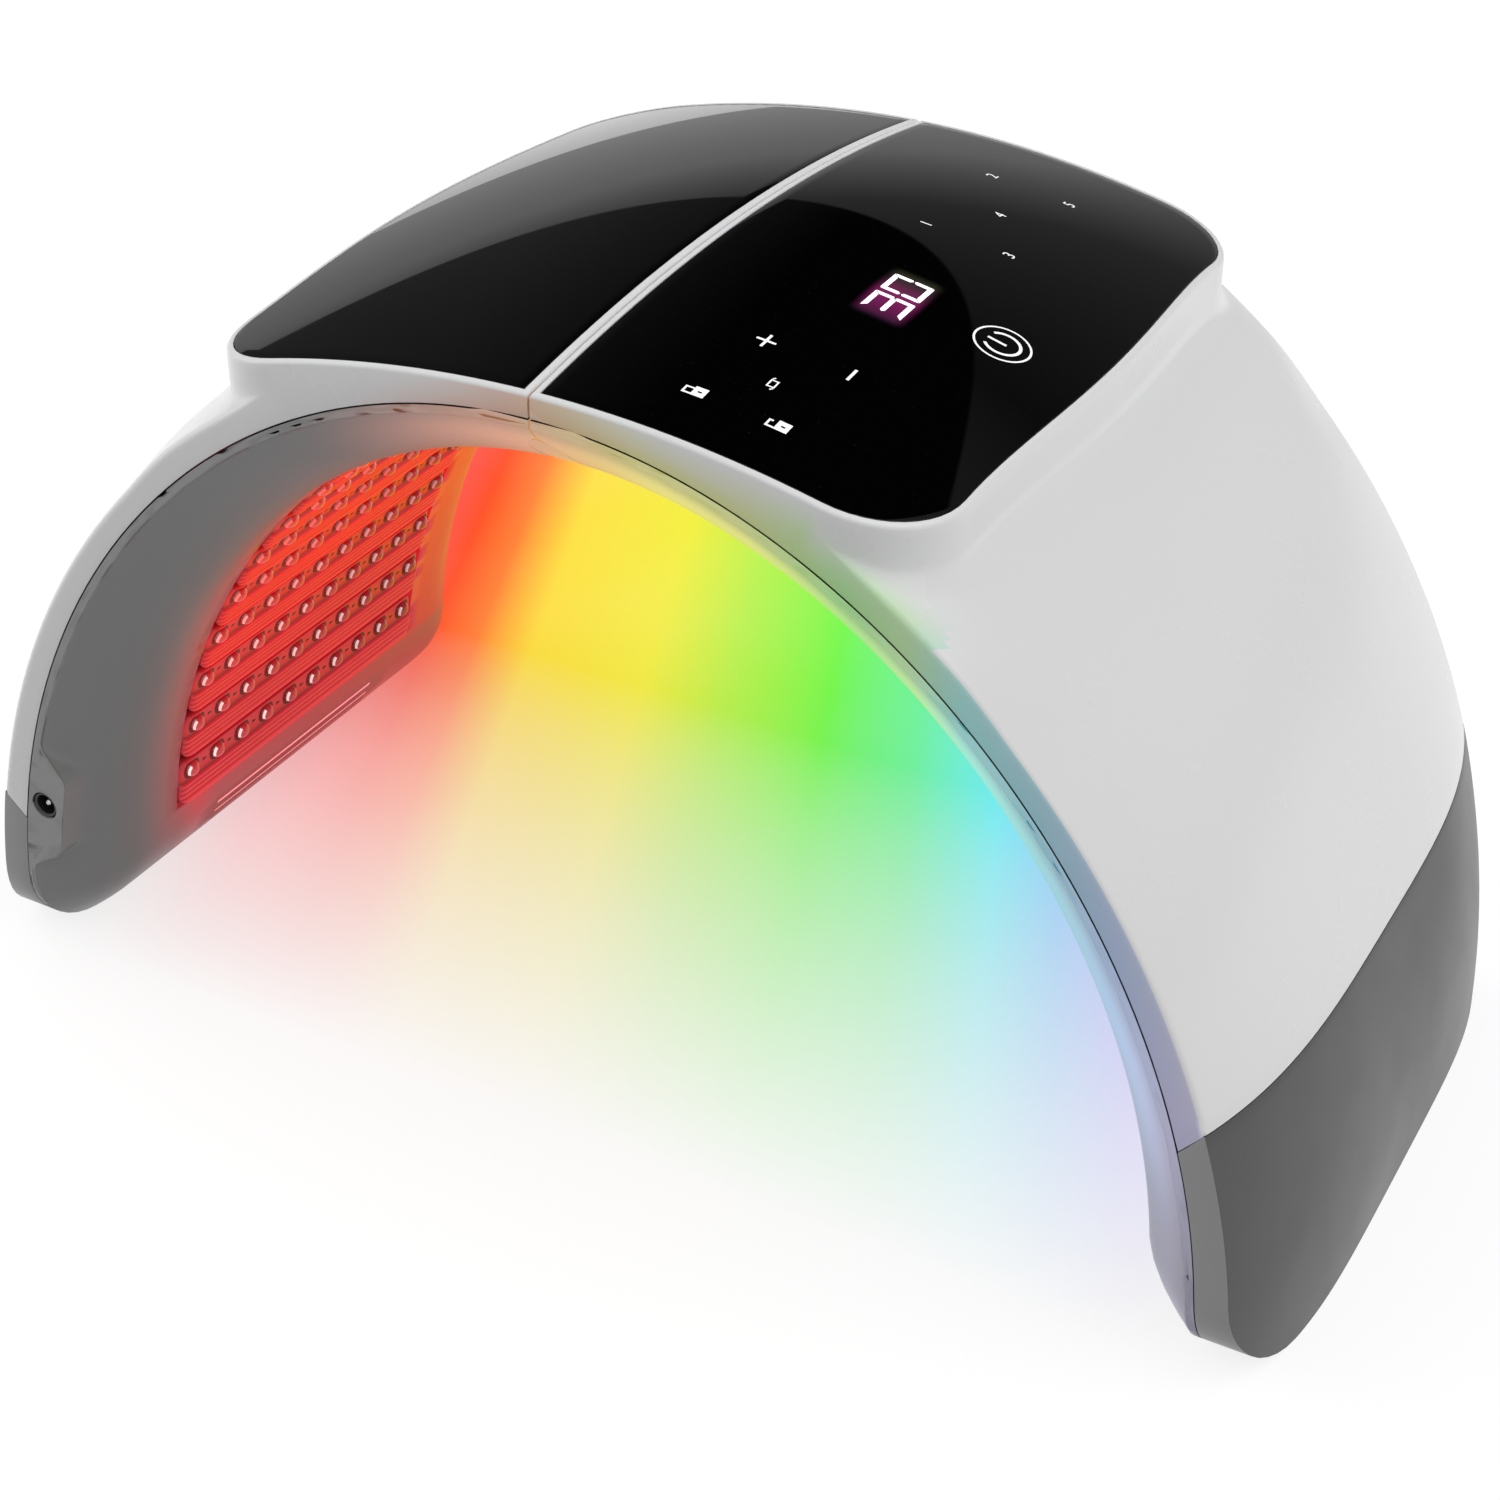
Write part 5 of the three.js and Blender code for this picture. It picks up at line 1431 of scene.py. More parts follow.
@dataclass
class InletJack:
    """Round power inlet in the shoulder of the left leg."""

    height: float = 54.8
    depth: float = 6.0
    nozzle: float = 4.0
    bore: float = 3.1
    bore_depth: float = 9.0
    pin: float = 0.9
    recess: float = 0.4

    def build(self, black: Material, steel: Material) -> Object:
        """Builds the inlet and dresses it.

        Args:
            black: satin black plastic.
            steel: finish of the pin.

        Returns:
            The finished object.
        """
        bm = new_mesh()
        spot = ARCH.place(self.height, -self.depth)
        front = -ARCH.half_depth + self.recess
        stations = [(13.0, self.nozzle), (0.25, self.nozzle), (0.0, self.nozzle - 0.25),
                    (0.0, self.bore + 0.25),
                    (0.25, self.bore), (self.bore_depth, self.bore), (self.bore_depth, self.pin),
                    (1.4, self.pin), (1.0, self.pin - 0.35), (0.95, 0.05)]
        axis = Matrix.Translation((spot.x, front, spot.y)) @ Matrix.Rotation(math.pi / 2, 4, "X")
        first = bm.verts.new((stations[0][1], 0, -stations[0][0]))
        run = chain(bm, first, [Vector((r, 0, -y)) for y, r in stations[1:]])
        edges = edges_between(run)
        bmesh.ops.spin(bm, geom=run + edges, cent=(0, 0, 0), axis=(0, 0, 1), angle=math.tau,
                       steps=40, use_merge=True)
        bmesh.ops.remove_doubles(bm, verts=bm.verts, dist=0.001)
        for face in bm.faces:
            middle = face.calc_center_median()
            if math.hypot(middle.x, middle.y) < self.pin + 0.05:
                face.material_index = 1
        bmesh.ops.transform(bm, matrix=axis, verts=bm.verts)
        to_metres(bm, Side.LEFT)
        bmesh.ops.recalc_face_normals(bm, faces=bm.faces)
        jack = piece("inlet_socket", bm, [black, steel], Side.LEFT.body)
        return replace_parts(jack, "inlet_jack")


# Finishes.


@dataclass
class Wiring:
    """Node tree with short calls that each add a node and return its result."""

    tree: Tree

    def plug(self, socket: Socket, value: object) -> None:
        """Links an input to another socket or sets its value.

        Args:
            socket: the input.
            value: a socket, a number, a vector, or a colour of three levels.
        """
        if isinstance(value, Socket):
            self.tree.links.new(value, socket)
        elif socket.type == "RGBA":
            socket.default_value = (*value, 1.0)
        else:
            socket.default_value = value

    def add(self, kind: str, **given: object) -> Node:
        """Adds a node and fills its settings and inputs.

        Args:
            kind: Blender's name of the node type without its start, ShaderNode.
            given: settings in small letters, and inputs by name with underscores for spaces
                or by number as I0, I1 and so on.

        Returns:
            The node.
        """
        node = self.tree.nodes.new(f"ShaderNode{kind}")
        for key in [k for k in given if k[0].islower()]:
            setattr(node, key, given.pop(key))
        for key, value in given.items():
            self.plug(node.inputs[int(key[1:]) if key[1:].isdigit() else key.replace("_", " ")], value)
        return node

    def calc(self, operation: str, a: object, b: object = 0.0) -> Socket:
        """Result of an operation on two values."""
        return self.add("Math", operation=operation, I0=a, I1=b).outputs[0]

    def mix(self, share: object, a: object, b: object, blend: str = "MIX") -> Socket:
        """Colour on the way from one colour to another by a share."""
        return self.add("Mix", data_type="RGBA", blend_type=blend, I0=share, I6=a, I7=b).outputs[2]

    def remap(self, value: Socket, start: float, end: float, low: float = 0.0, high: float = 1.0,
              kind: str = "LINEAR") -> Socket:
        """Value taken from one range to another and held at its ends."""
        return self.add("MapRange", interpolation_type=kind, Value=value, From_Min=start, From_Max=end,
                        To_Min=low, To_Max=high).outputs["Result"]

    def noise(self, spot: Socket, scale: object, detail: float = 2.0, twist: float = 0.0) -> Socket:
        """Level of a soft noise."""
        return self.add("TexNoise", Vector=spot, Scale=scale, Detail=detail, Distortion=twist).outputs["Fac"]

    def axes(self, spot: Socket) -> list[Socket]:
        """The three coordinates of a point."""
        return list(self.add("SeparateXYZ", Vector=spot).outputs)

    def level(self, name: str) -> Socket:
        """Value that the piece's vertices hold under a name."""
        return self.add("Attribute", attribute_name=name).outputs["Fac"]

    def ramp(self, value: Socket, stops: Stops) -> Socket:
        """Colour along a row of stops.

        Args:
            value: place from 0 to 1.
            stops: places and colours in order.

        Returns:
            The colour.
        """
        node = self.add("ValToRGB", Fac=value)
        elements = node.color_ramp.elements
        while len(elements) < len(stops):
            elements.new(0.5)
        for element, (place, colour) in zip(elements, stops):
            element.position = place
            element.color = (*colour, 1.0)
        return node.outputs["Color"]

    def ramp_along(self, value: Socket, stops: Stops) -> Socket:
        """Colour along a coordinate in metres.

        Args:
            value: the coordinate.
            stops: places in millimetres and colours in order.

        Returns:
            The colour.
        """
        first, last = stops[0][0], stops[-1][0]
        share = self.remap(value, first * MM, last * MM)
        return self.ramp(share, [((place - first) / (last - first), colour) for place, colour in stops])


class Shared(Wiring):
    """Node group that several finishes use, with a vector among its inputs."""

    def __init__(self, name: str, kind: str, outputs: Sequence[str], **inputs: float) -> None:
        """Starts the group.

        Args:
            name: the group's name.
            kind: type of the outputs, Float or Color.
            outputs: names of the outputs.
            inputs: further inputs and the values they start with.
        """
        super().__init__(bpy.data.node_groups.new(name, "ShaderNodeTree"))
        sockets = self.tree.interface
        sockets.new_socket(name="Vector", in_out="INPUT", socket_type="NodeSocketVector")
        for label, value in inputs.items():
            socket = sockets.new_socket(name=label, in_out="INPUT", socket_type="NodeSocketFloat")
            socket.default_value = value
        for label in outputs:
            sockets.new_socket(name=label, in_out="OUTPUT", socket_type=f"NodeSocket{kind}")
        self.given = self.tree.nodes.new("NodeGroupInput").outputs
        self.result = self.tree.nodes.new("NodeGroupOutput").inputs


def grain_group() -> Tree:
    """Fine moulded grain with slow mottling."""
    net = Shared("moulded_grain", "Float", ("Height", "Mottle"), Fine=900.0, Broad=22.0)
    for output, scale, detail in (("Height", "Fine", 3.0), ("Mottle", "Broad", 4.0)):
        net.plug(net.result[output], net.noise(net.given["Vector"], net.given[scale], detail))
    return net.tree


def wear_group() -> Tree:
    """Light rubbing along edges, broken up by noise."""
    net = Shared("edge_rub", "Float", ("Mask",), Reach=0.5)
    lift = net.remap(net.add("NewGeometry").outputs["Pointiness"], 0.57, 0.7)
    cut = net.remap(net.noise(net.given["Vector"], 140.0, 5.0), 0.45, 0.65)
    reach = net.calc("MULTIPLY", net.calc("MULTIPLY", lift, cut), net.given["Reach"])
    net.plug(net.result["Mask"], reach)
    return net.tree


def smudge_group() -> Tree:
    """Finger smudges and fine dust for polished faces."""
    net = Shared("smudges", "Float", ("Film", "Dust"))
    spot = net.given["Vector"]
    specks = net.add("TexVoronoi", Vector=spot, Scale=420.0).outputs["Distance"]
    net.plug(net.result["Film"], net.remap(net.noise(spot, 34.0, 6.0, 1.4), 0.5, 0.78))
    net.plug(net.result["Dust"], net.remap(specks, 0.07, 0.03))
    return net.tree


def rim_light_group() -> Tree:
    """Colour of the painted light along the front rim, by the place across."""
    net = Shared("rim_light", "Color", ("Light",))
    across = net.axes(net.given["Vector"])[0]
    net.plug(net.result["Light"], net.ramp_along(across, RIM_LIGHT))
    return net.tree


def linear(*levels: float) -> Colour:
    """Scene colour of display levels from 0 to 255."""
    return tuple(((v / 255 + 0.055) / 1.055) ** 2.4 if v > 10 else v / 255 / 12.92 for v in levels)


NO_LIGHT, FULL_LIGHT = (0.0, 0.0, 0.0), (1.0, 1.0, 1.0)
ROW_LIGHT = ((0.0, linear(150, 120, 235)), (0.22, linear(110, 170, 240)), (0.42, linear(60, 215, 235)),
             (0.62, linear(80, 225, 90)), (0.82, linear(190, 225, 40)), (1.0, linear(250, 205, 40)))
RED_LIGHT = ((0.0, linear(214, 40, 52)), (0.35, linear(244, 28, 30)), (1.0, linear(252, 24, 14)))
# Painted highlight: colours of the glint painted on each bead, whiter on the low rows.
PAINTED_GLINT_LIGHT = ((0.0, linear(255, 226, 222)), (0.2, linear(250, 176, 168)), (0.4, linear(252, 96, 80)),
               (1.0, linear(255, 84, 60)))
# Painted glow: colours of the light painted on the glass round the display.
HALO_LIGHT = ((-13, linear(44, 26, 44)), (-5.2, linear(112, 30, 84)), (0, linear(128, 36, 92)),
              (7.28, linear(60, 44, 50)), (13, linear(34, 44, 20)))
# Painted light: colours of the panels' light painted along the front rims, by the place across.
RIM_LIGHT = ((-60, (1.0, 0.30, 0.18)), (-8, (1.0, 0.42, 0.20)), (10, (1.0, 0.62, 0.16)),
             (30, (1.0, 0.94, 0.14)), (56, (0.84, 0.95, 0.13)), (80, (0.34, 1.0, 0.14)),
             (97, (0.5, 1.0, 0.3)), (111, (0.24, 0.95, 0.9)), (130, (0.22, 0.75, 0.92)),
             (150, (0.36, 0.58, 1.0)), (172, (0.62, 0.58, 1.0)))
GRAIN, WEAR, SMUDGE, RIM = grain_group(), wear_group(), smudge_group(), rim_light_group()


class Paint(Wiring):
    """Wiring of a material with its shader's inputs and the piece's coordinates."""

    def __init__(self, name: str) -> None:
        """Makes the material.

        Args:
            name: its name.
        """
        self.material = bpy.data.materials.new(name)
        self.material.use_nodes = True
        super().__init__(self.material.node_tree)
        self.shader = self.tree.nodes["Principled BSDF"].inputs
        self.spot = self.add("TexCoord").outputs["Object"]

    def give(self, name: str, value: object) -> None:
        """Sets or links one of the shader's inputs."""
        self.plug(self.shader[name], value)

    def effect(self, group: Tree, output: str, **inputs: float) -> Socket:
        """Output of a shared group at the piece's coordinates."""
        return self.add("Group", node_tree=group, Vector=self.spot, **inputs).outputs[output]

    def soak(self, share: Socket, light_tint: Socket) -> None:
        """Paints light into the base colour, multiplying it towards a light's colour by a share."""
        plain = self.shader["Base Color"].links[0].from_socket
        self.give("Base Color", self.mix(share, plain, light_tint, "MULTIPLY"))

    def shine(self, colour: Socket, strength: float) -> None:
        """Makes the surface give off light."""
        self.give("Emission Color", colour)
        self.give("Emission Strength", strength)


@dataclass(frozen=True)
class Finish:
    """Moulded, painted or metal finish with grain, mottling and edge rub."""

    name: str
    colour: Colour
    roughness: float
    metallic: float = 0.0
    coat: float = 0.0
    fine: float = 1400.0
    broad: float = 24.0
    bump: float = 0.03
    mottle: float = 0.03
    spread: float = 0.05
    wear: float = 0.0
    wear_colour: Colour = (0.8, 0.8, 0.8)
    coat_roughness: float = 0.2

    def start(self) -> Paint:
        """Starts the material with its metal and coat."""
        paint = Paint(self.name)
        paint.give("Metallic", self.metallic)
        paint.give("Coat Weight", self.coat)
        paint.give("Coat Roughness", self.coat_roughness)
        return paint

    def roughen(self, paint: Paint, start: float = 0.3, end: float = 0.7) -> Socket:
        """Gives the material its roughness and grain.

        Args:
            paint: the material.
            start: level of the mottling where the surface is smoothest.
            end: level of the mottling where it is roughest.

        Returns:
            The slow mottling, from 0 to 1.
        """
        mottle = paint.effect(GRAIN, "Mottle", Fine=self.fine, Broad=self.broad)
        least = max(self.roughness - self.spread, 0.01)
        paint.give("Roughness", paint.remap(mottle, start, end, least, self.roughness + self.spread))
        height = mottle.node.outputs["Height"]
        bump = paint.add("Bump", Strength=self.bump, Distance=0.0004, Height=height)
        paint.give("Normal", bump.outputs["Normal"])
        return mottle

    def dress(self) -> Paint:
        """Builds the material with its mottled and rubbed colour."""
        paint = self.start()
        low, high = (tuple(min(c * k, 1.0) for c in self.colour) for k in (1 - self.mottle, 1 + self.mottle))
        tone = paint.mix(self.roughen(paint), low, high)
        if self.wear:
            tone = paint.mix(paint.effect(WEAR, "Mask", Reach=self.wear), tone, self.wear_colour)
        paint.give("Base Color", tone)
        return paint

    def build(self) -> Material:
        """Builds the material."""
        return self.dress().material


@dataclass(frozen=True)
class ShellFinish(Finish):
    """Gloss shell with the colour of the light beside it painted onto its front rim."""

    share: float = 0.75

    def dress(self) -> Paint:
        """Builds the material with the painted light on its rim."""
        paint = super().dress()
        amount = paint.calc("MULTIPLY", paint.level("rim_painted_light"), self.share)
        paint.soak(amount, paint.effect(RIM, "Light"))
        return paint


@dataclass(frozen=True)
class PadFinish(Finish):
    """Satin pad with the light of the panel next to it painted on."""

    light: Stops = RED_LIGHT
    light_span: Pair = (0.03, 0.2)
    strength: float = 0.72
    rim: float = 0.5
    depth: float = 0.85

    def dress(self) -> Paint:
        """Builds the material with the panel's light painted on it."""
        paint = super().dress()
        # Painted glow: the panel's light painted into the pad's colour and emission; painted coloured light
        # along its front edge.
        height = paint.axes(paint.spot)[2]
        light_tint = paint.ramp(paint.remap(height, *self.light_span), self.light)
        glow = paint.level("panel_glow")
        paint.soak(paint.calc("MULTIPLY", glow, self.depth), light_tint)
        beside = paint.calc("MULTIPLY", paint.level("rim_painted_light"), self.rim)
        lit = paint.mix(glow, NO_LIGHT, light_tint)
        paint.shine(paint.mix(beside, lit, paint.effect(RIM, "Light")), self.strength)
        return paint


@dataclass(frozen=True)
class LightFinish(Finish):
    """Lit clear plastic whose colour follows the rows of the panel, with the painted shading of its steps."""

    light: Stops = RED_LIGHT
    strength: float = 0.6

    def dress(self) -> Paint:
        """Builds the material with its rows of light and the painted shading of its steps."""
        paint = self.start()
        light_tint = paint.ramp(paint.level("row_level"), self.light)
        fine = paint.remap(self.roughen(paint, 0.0, 1.0), 0.3, 0.7, 1 - self.mottle, 1.0)
        # Painted shading of the steps, from the values that the panel's vertices hold.
        shade = paint.calc("MULTIPLY", fine, paint.level("step_painted_shading"))
        tone = paint.mix(1.0, light_tint, shade, "MULTIPLY")
        paint.give("Base Color", paint.mix(1.0, tone, self.colour, "MULTIPLY"))
        paint.shine(tone, self.strength)
        return paint


@dataclass(frozen=True)
class GlassFinish(Finish):
    """Polished black glass with smudges, dust and a painted glow of the display under it."""

    dust: Colour = (0.02, 0.02, 0.021)
    halo: Pair | None = None
    halo_half: Pair = (6.6, 12.6)
    halo_fade: Pair = (1.2, -2.6)

    def dress(self) -> Paint:
        """Builds the material."""
        paint = self.start()
        specks = paint.effect(SMUDGE, "Dust")
        paint.give("Base Color", paint.mix(specks, self.colour, self.dust))
        film = specks.node.outputs["Film"]
        paint.give("Roughness", paint.remap(film, 0.0, 1.0, self.roughness, self.roughness + self.spread))
        if self.halo:
            self.add_halo(paint)
        return paint

    def add_halo(self, paint: Paint) -> None:
        """Adds the painted glow round the display.

        Args:
            paint: the material.
        """
        masks, axes = [], paint.axes(paint.spot)
        for place, middle, half in zip(axes, self.halo, self.halo_half):
            away = paint.calc("ABSOLUTE", paint.calc("SUBTRACT", place, middle * MM))
            gone, full = ((half + past) * MM for past in self.halo_fade)
            masks.append(paint.remap(away, gone, full, kind="SMOOTHSTEP"))
        light_tint = paint.ramp_along(axes[1], [(self.halo[1] + off, colour) for off, colour in HALO_LIGHT])
        paint.shine(paint.mix(paint.calc("MULTIPLY", *masks), NO_LIGHT, light_tint), 1.0)


@dataclass(frozen=True)
class LitFinish(Finish):
    """Self-lit print or display light."""

    strength: float = 1.0
    dim: float = 0.9

    def dress(self) -> Paint:
        """Builds the material."""
        paint = super().dress()
        low = tuple(c * self.dim for c in self.colour)
        paint.shine(paint.mix(paint.noise(paint.spot, 600.0), self.colour, low), self.strength)
        return paint


SHELL = {"colour": linear(228, 228, 229), "roughness": 0.26, "coat": 0.25, "bump": 0.012, "mottle": 0.01,
         "spread": 0.04}
WHITE = Finish("gloss_white", **SHELL)
WHITE_RIM = ShellFinish("gloss_white_rim", **SHELL)
CAP = Finish("cap_grey", linear(66, 66, 67), 0.4, coat=0.04)
# Painted light: a lighter copy of the cap's grey for its flat rims.
CAP_PAINTED_LIGHT_RIM = Finish("cap_painted_light_rim_grey", linear(148, 148, 150), 0.4, coat=0.04)
PAD = {Side.LEFT: PadFinish("pad_grey_left", linear(134, 134, 135), 0.36, bump=0.04),
       Side.RIGHT: PadFinish("pad_grey_right", linear(134, 134, 135), 0.36, bump=0.04, light=ROW_LIGHT)}
# Painted shade: dark finish on the walls inside the parting gaps.
GAP_PAINTED_SHADE = Finish("gap_painted_shade", linear(42, 38, 36), 0.6, mottle=0.05)
GLASS = {Side.LEFT: GlassFinish("black_glass", (0.0012, 0.0012, 0.0014), 0.02, spread=0.03),
         Side.RIGHT: GlassFinish("black_glass_lit", (0.0008, 0.0008, 0.001), 0.02, spread=0.03,
                                 halo=(51.6, -17.5))}
STEEL = Finish("satin_steel", (0.48, 0.485, 0.49), 0.33, metallic=1.0, bump=0.04, wear=0.2,
               wear_colour=(0.7, 0.7, 0.7))
BLACK = Finish("satin_black", (0.012, 0.012, 0.013), 0.4, bump=0.05, wear=0.2, wear_colour=(0.1, 0.1, 0.1))
BOARD = Finish("board_green", linear(29, 90, 56), 0.45, bump=0.04, broad=90.0, mottle=0.12)
LIGHT_BOARD = Finish("board_white", linear(230, 230, 224), 0.5, broad=70.0)
LEAD = Finish("lead_black", (0.014, 0.014, 0.015), 0.55, bump=0.06)
DIGIT = LitFinish("digit_light", linear(252, 244, 252), 0.4)
PRINT = LitFinish("mark_print", linear(225, 226, 228), 0.5, strength=0.55)
# Painted light: pink glow on the floors of the vents.
VENT_LIGHT = LitFinish("vent_light", linear(250, 140, 142), 0.5)


def lens_finishes(side: Side) -> list[LightFinish]:
    """Finishes of one light panel: tongues, beads, grooves and rings in painted shade, and the glints painted
    on the beads.
    """
    light = ROW_LIGHT if side is Side.RIGHT else RED_LIGHT
    # Colours of the painted glint.
    spark = ROW_LIGHT if side is Side.RIGHT else PAINTED_GLINT_LIGHT
    return [
        LightFinish(f"tongue_{side.label}", (0.5, 0.5, 0.5), 0.42, light=light, strength=1.0, mottle=0.12),
        LightFinish(f"bead_{side.label}", (0.5, 0.5, 0.5), 0.1, light=light, strength=0.9, mottle=0.1,
                    coat=0.6, coat_roughness=0.05),
        LightFinish(f"groove_{side.label}", (0.3, 0.3, 0.3), 0.5, light=light, strength=0.5, mottle=0.3),
        LightFinish(f"spark_{side.label}", (0.8, 0.8, 0.8), 0.2, light=spark, strength=1.5, mottle=0.05),
    ]


# Studio.


@dataclass(frozen=True)
class FloorFinish:
    """Pale floor with the pool of coloured light that the lamp throws on it, in millimetres."""

    white: float = 0.8
    body: float = 0.26
    slant: float = 0.4
    rise: Pair = (-97, 112)
    far_edge: Pair = (330, 262)
    side_edges: tuple[Pair, ...] = ((-300, -262), (182, 150))
    slant_edges: tuple[Pair, ...] = ((-225, -170), (212, 176))
    cloud: Pair = (0.93, 1.05)
    colours: Stops = (
        (-175, linear(252, 100, 112)), (-140, linear(252, 84, 44)), (-122, linear(255, 130, 56)),
        (-100, linear(250, 222, 66)), (-55, linear(240, 236, 66)), (-24, linear(186, 240, 80)),
        (14, linear(116, 246, 74)), (48, linear(112, 242, 160)), (78, linear(112, 238, 246)),
        (100, linear(140, 206, 252)), (122, linear(186, 184, 252)), (142, linear(214, 206, 255)),
    )

    def pool(self, net: Wiring, spot: Socket) -> Socket:
        """Colour of the floor with the light pool on it.

        Args:
            net: wiring of the material.
            spot: coordinates of the floor.

        Returns:
            The colour.
        """
        x, y, _ = net.axes(spot)
        drift = net.add("Math", operation="MULTIPLY_ADD", I0=y, I1=self.slant, I2=x).outputs[0]
        fades = [(y, *self.far_edge)] + [(x, *edge) for edge in self.side_edges]
        fades += [(drift, *edge) for edge in self.slant_edges]
        mask = net.remap(net.noise(spot, 9.0), 0.0, 1.0, *self.cloud)
        mask = net.calc("MULTIPLY", mask, net.remap(y, *(place * MM for place in self.rise)))
        for place, gone, full in fades:
            mask = net.calc("MULTIPLY", mask, net.remap(place, gone * MM, full * MM, kind="SMOOTHSTEP"))
        return net.mix(mask, FULL_LIGHT, net.ramp_along(drift, self.colours))

    def build(self) -> Material:
        """Builds the material: white for the camera, a paler body that keeps the shadow."""
        material = bpy.data.materials.new("floor_pale")
        material.use_nodes = True
        material.node_tree.nodes.clear()
        net = Wiring(material.node_tree)
        colour = self.pool(net, net.add("TexCoord").outputs["Object"])
        path = net.add("LightPath").outputs
        seen = net.calc("MAXIMUM", path["Is Camera Ray"], path["Is Glossy Ray"])
        seen = net.calc("MAXIMUM", seen, path["Is Transmission Ray"])
        light = net.add("Emission", Color=colour, Strength=net.calc("MULTIPLY", seen, self.white))
        shade = net.mix(1.0, colour, (self.body,) * 3, "MULTIPLY")
        matt = net.add("BsdfDiffuse", Color=shade)
        both = net.add("AddShader", I0=light.outputs[0], I1=matt.outputs[0])
        net.add("OutputMaterial", Surface=both.outputs[0])
        return material


@dataclass
class Studio:
    """Pale floor, soft light and the camera."""

    azimuth: float = 28.50
    elevation: float = 32.95
    roll: float = 0.51
    lens: float = 66.614
    sensor: float = 36.0
    near_clip: float = 0.02
    eye: tuple[float, float, float] = (316.5, -577.7, 495.5)
    floor_half: float = 4.0
    floor_drop: float = 0.0004
    lamp_place: tuple[float, float, float] = (0.7, 0.2, 1.5)
    lamp_aim: tuple[float, float, float] = (0.0, 0.0, 0.1)
    lamp_size: float = 0.9
    lamp_power: float = 3.0
    ambient: Pair = (0.25, 0.45)
    ambient_span: Pair = (-0.1, 1.0)
    lobes: tuple[tuple[tuple[float, float, float], float, float], ...] = (
        ((0.9, 0.0, 0.3), 3.0, 1.35), ((-0.9, -0.05, 0.3), 4.0, 2.3),
    )
    card: tuple[float, float, float] = (-0.5231, 0.3565, 0.7741)
    card_edge: float = 0.7892
    card_blur: float = 0.0012
    card_shade: tuple[float, float, float, float] = (-0.34, -0.62, 0.0, 0.08)
    sky: tuple[Pair, ...] = ((0.0, 0.46), (0.19, 0.46), (0.36, 0.13), (0.62, 0.04), (0.9, 0.3))
    front_span: Pair = (0.3, -0.2)
    front_level: float = 1.3

    def place(self, name: str, data: bpy.types.ID, matrix: Matrix) -> Object:
        """Adds an object to the scene.

        Args:
            name: its name.
            data: its camera, lamp or mesh.
            matrix: its place.

        Returns:
            The object.
        """
        obj = bpy.data.objects.new(name, data)
        obj.matrix_world = matrix
        bpy.context.scene.collection.objects.link(obj)
        return obj

    def build_camera(self) -> Object:
        """Builds the camera at the photograph's place."""
        a, e, r = (math.radians(v) for v in (self.azimuth, self.elevation, self.roll))
        ahead = Vector((-math.sin(a) * math.cos(e), math.cos(a) * math.cos(e), -math.sin(e)))
        level = Vector((math.cos(a), math.sin(a), 0))
        rise = level.cross(ahead)
        right = level * math.cos(r) + rise * math.sin(r)
        top = rise * math.cos(r) - level * math.sin(r)
        data = bpy.data.cameras.new("camera")
        data.lens, data.sensor_width, data.clip_start = self.lens, self.sensor, self.near_clip
        turn = Matrix((right, top, -ahead)).transposed().to_4x4()
        camera = self.place("camera", data, Matrix.Translation(Vector(self.eye) * MM) @ turn)
        bpy.context.scene.camera = camera
        return camera

    def build_floor(self) -> Object:
        """Builds the floor."""
        bm = new_mesh()
        bmesh.ops.create_grid(bm, x_segments=8, y_segments=8, size=self.floor_half)
        bmesh.ops.translate(bm, verts=bm.verts, vec=(0, 0, -self.floor_drop))
        mesh = bpy.data.meshes.new("floor")
        bm.to_mesh(mesh)
        bm.free()
        mesh.materials.append(FloorFinish().build())
        floor = self.place("floor", mesh, Matrix())
        return floor

    def build_lamp(self) -> Object:
        """Builds the soft lamp that faces the object."""
        data = bpy.data.lights.new("key", "AREA")
        data.shape = "RECTANGLE"
        data.size = data.size_y = self.lamp_size
        data.energy = self.lamp_power
        way = Vector(self.lamp_aim) - Vector(self.lamp_place)
        turn = way.to_track_quat("-Z", "Y").to_matrix().to_4x4()
        return self.place("key", data, Matrix.Translation(self.lamp_place) @ turn)

    def facing(self, net: Wiring, way: Socket, toward: Sequence[float]) -> Socket:
        """How squarely a direction faces another, as the cosine between them."""
        return net.add("VectorMath", operation="DOT_PRODUCT", I0=way,
                       I1=tuple(Vector(toward).normalized())).outputs["Value"]

    def light_level(self, net: Wiring, way: Socket) -> Socket:
        """Level of the soft light from a direction.

        Args:
            net: wiring of the world.
            way: the direction.

        Returns:
            The level, with the two bright sides added.
        """
        level = net.remap(net.axes(way)[2], *self.ambient_span, *self.ambient)
        for toward, power, strength in self.lobes:
            ahead = net.calc("MAXIMUM", self.facing(net, way, toward), 0.0)
            level = net.calc("ADD", level, net.calc("MULTIPLY", net.calc("POWER", ahead, power), strength))
        return level

    def mirrored(self, net: Wiring, way: Socket) -> Socket:
        """Colour that polished faces mirror from a direction.

        Args:
            net: wiring of the world.
            way: the direction.

        Returns:
            The colour: a soft sky, bright in front, with one large dark card.
        """
        x, y, z = net.axes(way)
        far = net.ramp(z, [(place, (level,) * 3) for place, level in self.sky])
        front = net.remap(y, *self.front_span, kind="SMOOTHSTEP")
        edges = (self.card_edge - self.card_blur, self.card_edge + self.card_blur)
        inside = net.remap(self.facing(net, way, self.card), *edges)
        open_sky = net.mix(front, far, (self.front_level,) * 3)
        return net.mix(inside, open_sky, net.remap(x, *self.card_shade))

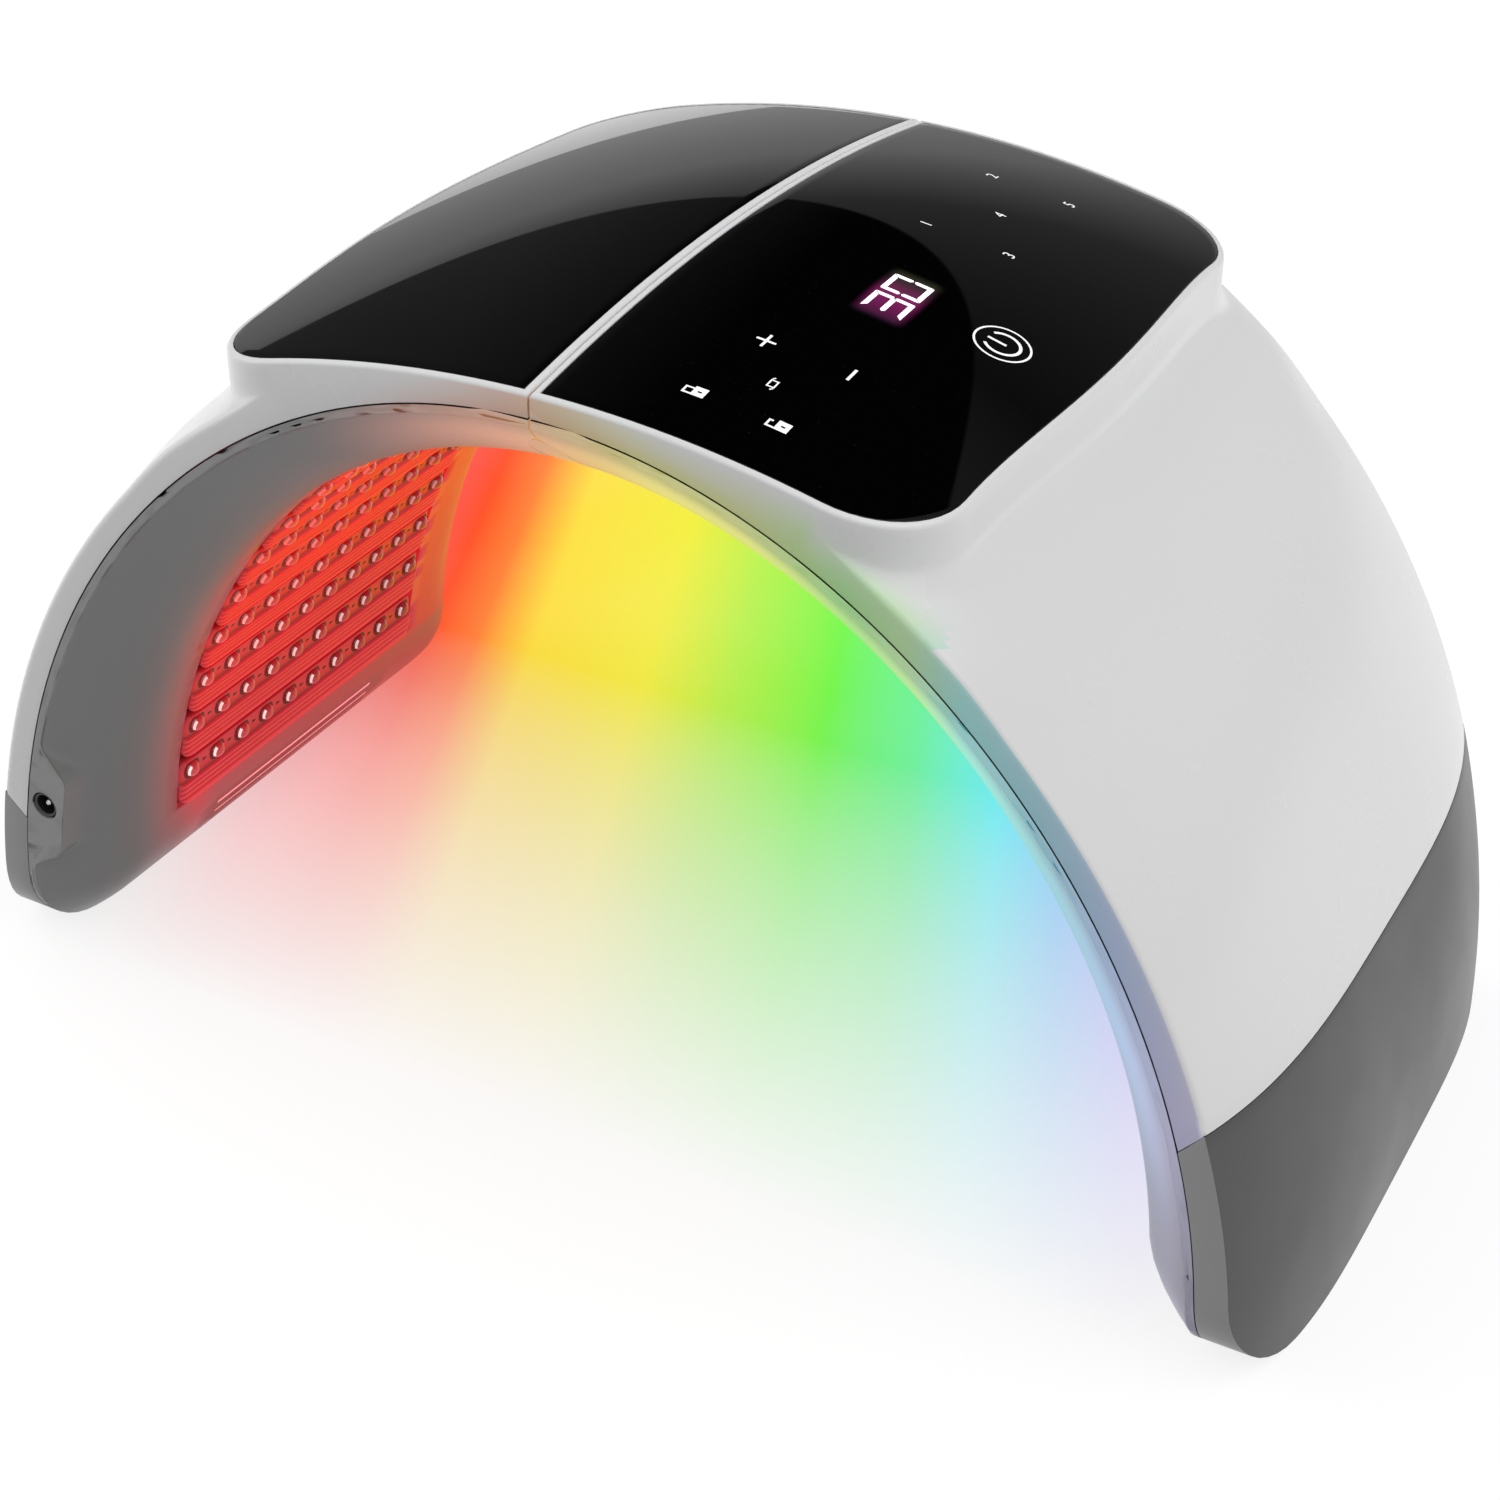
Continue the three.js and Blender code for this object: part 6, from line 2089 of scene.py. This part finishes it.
    def build_world(self) -> None:
        """Builds the white surround, its soft light and what polished faces mirror."""
        world = bpy.data.worlds.new("surround")
        bpy.context.scene.world = world
        world.use_nodes = True
        world.node_tree.nodes.clear()
        net = Wiring(world.node_tree)
        way = net.add("TexCoord").outputs["Generated"]
        path = net.add("LightPath").outputs
        lit = net.mix(path["Is Glossy Ray"], self.light_level(net, way), self.mirrored(net, way))
        seen = net.calc("MAXIMUM", path["Is Camera Ray"], path["Is Transmission Ray"])
        light = net.add("Background", Color=net.mix(seen, lit, FULL_LIGHT), Strength=1.0)
        net.add("OutputWorld", Surface=light.outputs[0])

    def build(self) -> None:
        """Builds the whole studio."""
        bpy.context.scene.view_settings.view_transform = "Standard"
        self.build_camera()
        self.build_floor()
        self.build_world()
        self.build_lamp()


# Assembly.


@dataclass
class InnerWorks:
    """Boards, screws, leads and display module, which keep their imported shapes."""

    finishes: dict[str, Finish] = field(default_factory=lambda: {
        "screw": STEEL, "lead": LEAD, "led_board": LIGHT_BOARD, "touch_board": BOARD,
        "control_board": BOARD, "display": BLACK,
    })

    def dress(self, nodes: dict[str, Object]) -> None:
        """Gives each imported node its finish.

        Args:
            nodes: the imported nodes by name.
        """
        made: dict[str, Material] = {}
        for name, node in nodes.items():
            kind = next((k for k in self.finishes if k in name), None)
            if kind is None or node.hide_render:
                continue
            finish = self.finishes[kind]
            if finish.name not in made:
                made[finish.name] = finish.build()
            for slot in node.material_slots:
                slot.material = made[finish.name]
            LOG.info("%s: dressed in %s", name, finish.name)


def main() -> None:
    """Builds the studio and every piece of the lamp in order."""
    logging.basicConfig(level=logging.INFO, format="%(message)s")
    Studio().build()
    # inside is the painted shade of the parting gaps, vent the painted glow of the vents.
    white, inside, vent = WHITE.build(), GAP_PAINTED_SHADE.build(), VENT_LIGHT.build()
    cap, cap_painted_light_rim = CAP.build(), CAP_PAINTED_LIGHT_RIM.build()
    steel, black, printed = STEEL.build(), BLACK.build(), PRINT.build()
    pads = {side: finish.build() for side, finish in PAD.items()}
    for side in Side:
        height = CAP_HEIGHTS[side]
        OuterShell(side, height).build(white, WHITE_RIM.build(), inside)
        LegCap(side, height).build(cap, cap_painted_light_rim)
        InnerCover(side).build(pads[side], vent, inside)
        LensPanel(side).build(*(finish.build() for finish in lens_finishes(side)))
        ConsoleGlass(side).build(GLASS[side].build())
    marks = ConsoleMarks()
    marks.build_digits(DIGIT.build())
    marks.build_marks(printed)
    marks.build_numbers(printed)
    hinge = CrownHinge()
    for side in Side:
        hinge.build_leaf(side, steel)
    hinge.build_pin(steel)
    hinge.build_plugs(pads[Side.RIGHT])
    InletJack().build(black, steel)
    InnerWorks().dress(frame["nodes"])


if __name__ == "__main__":
    main()
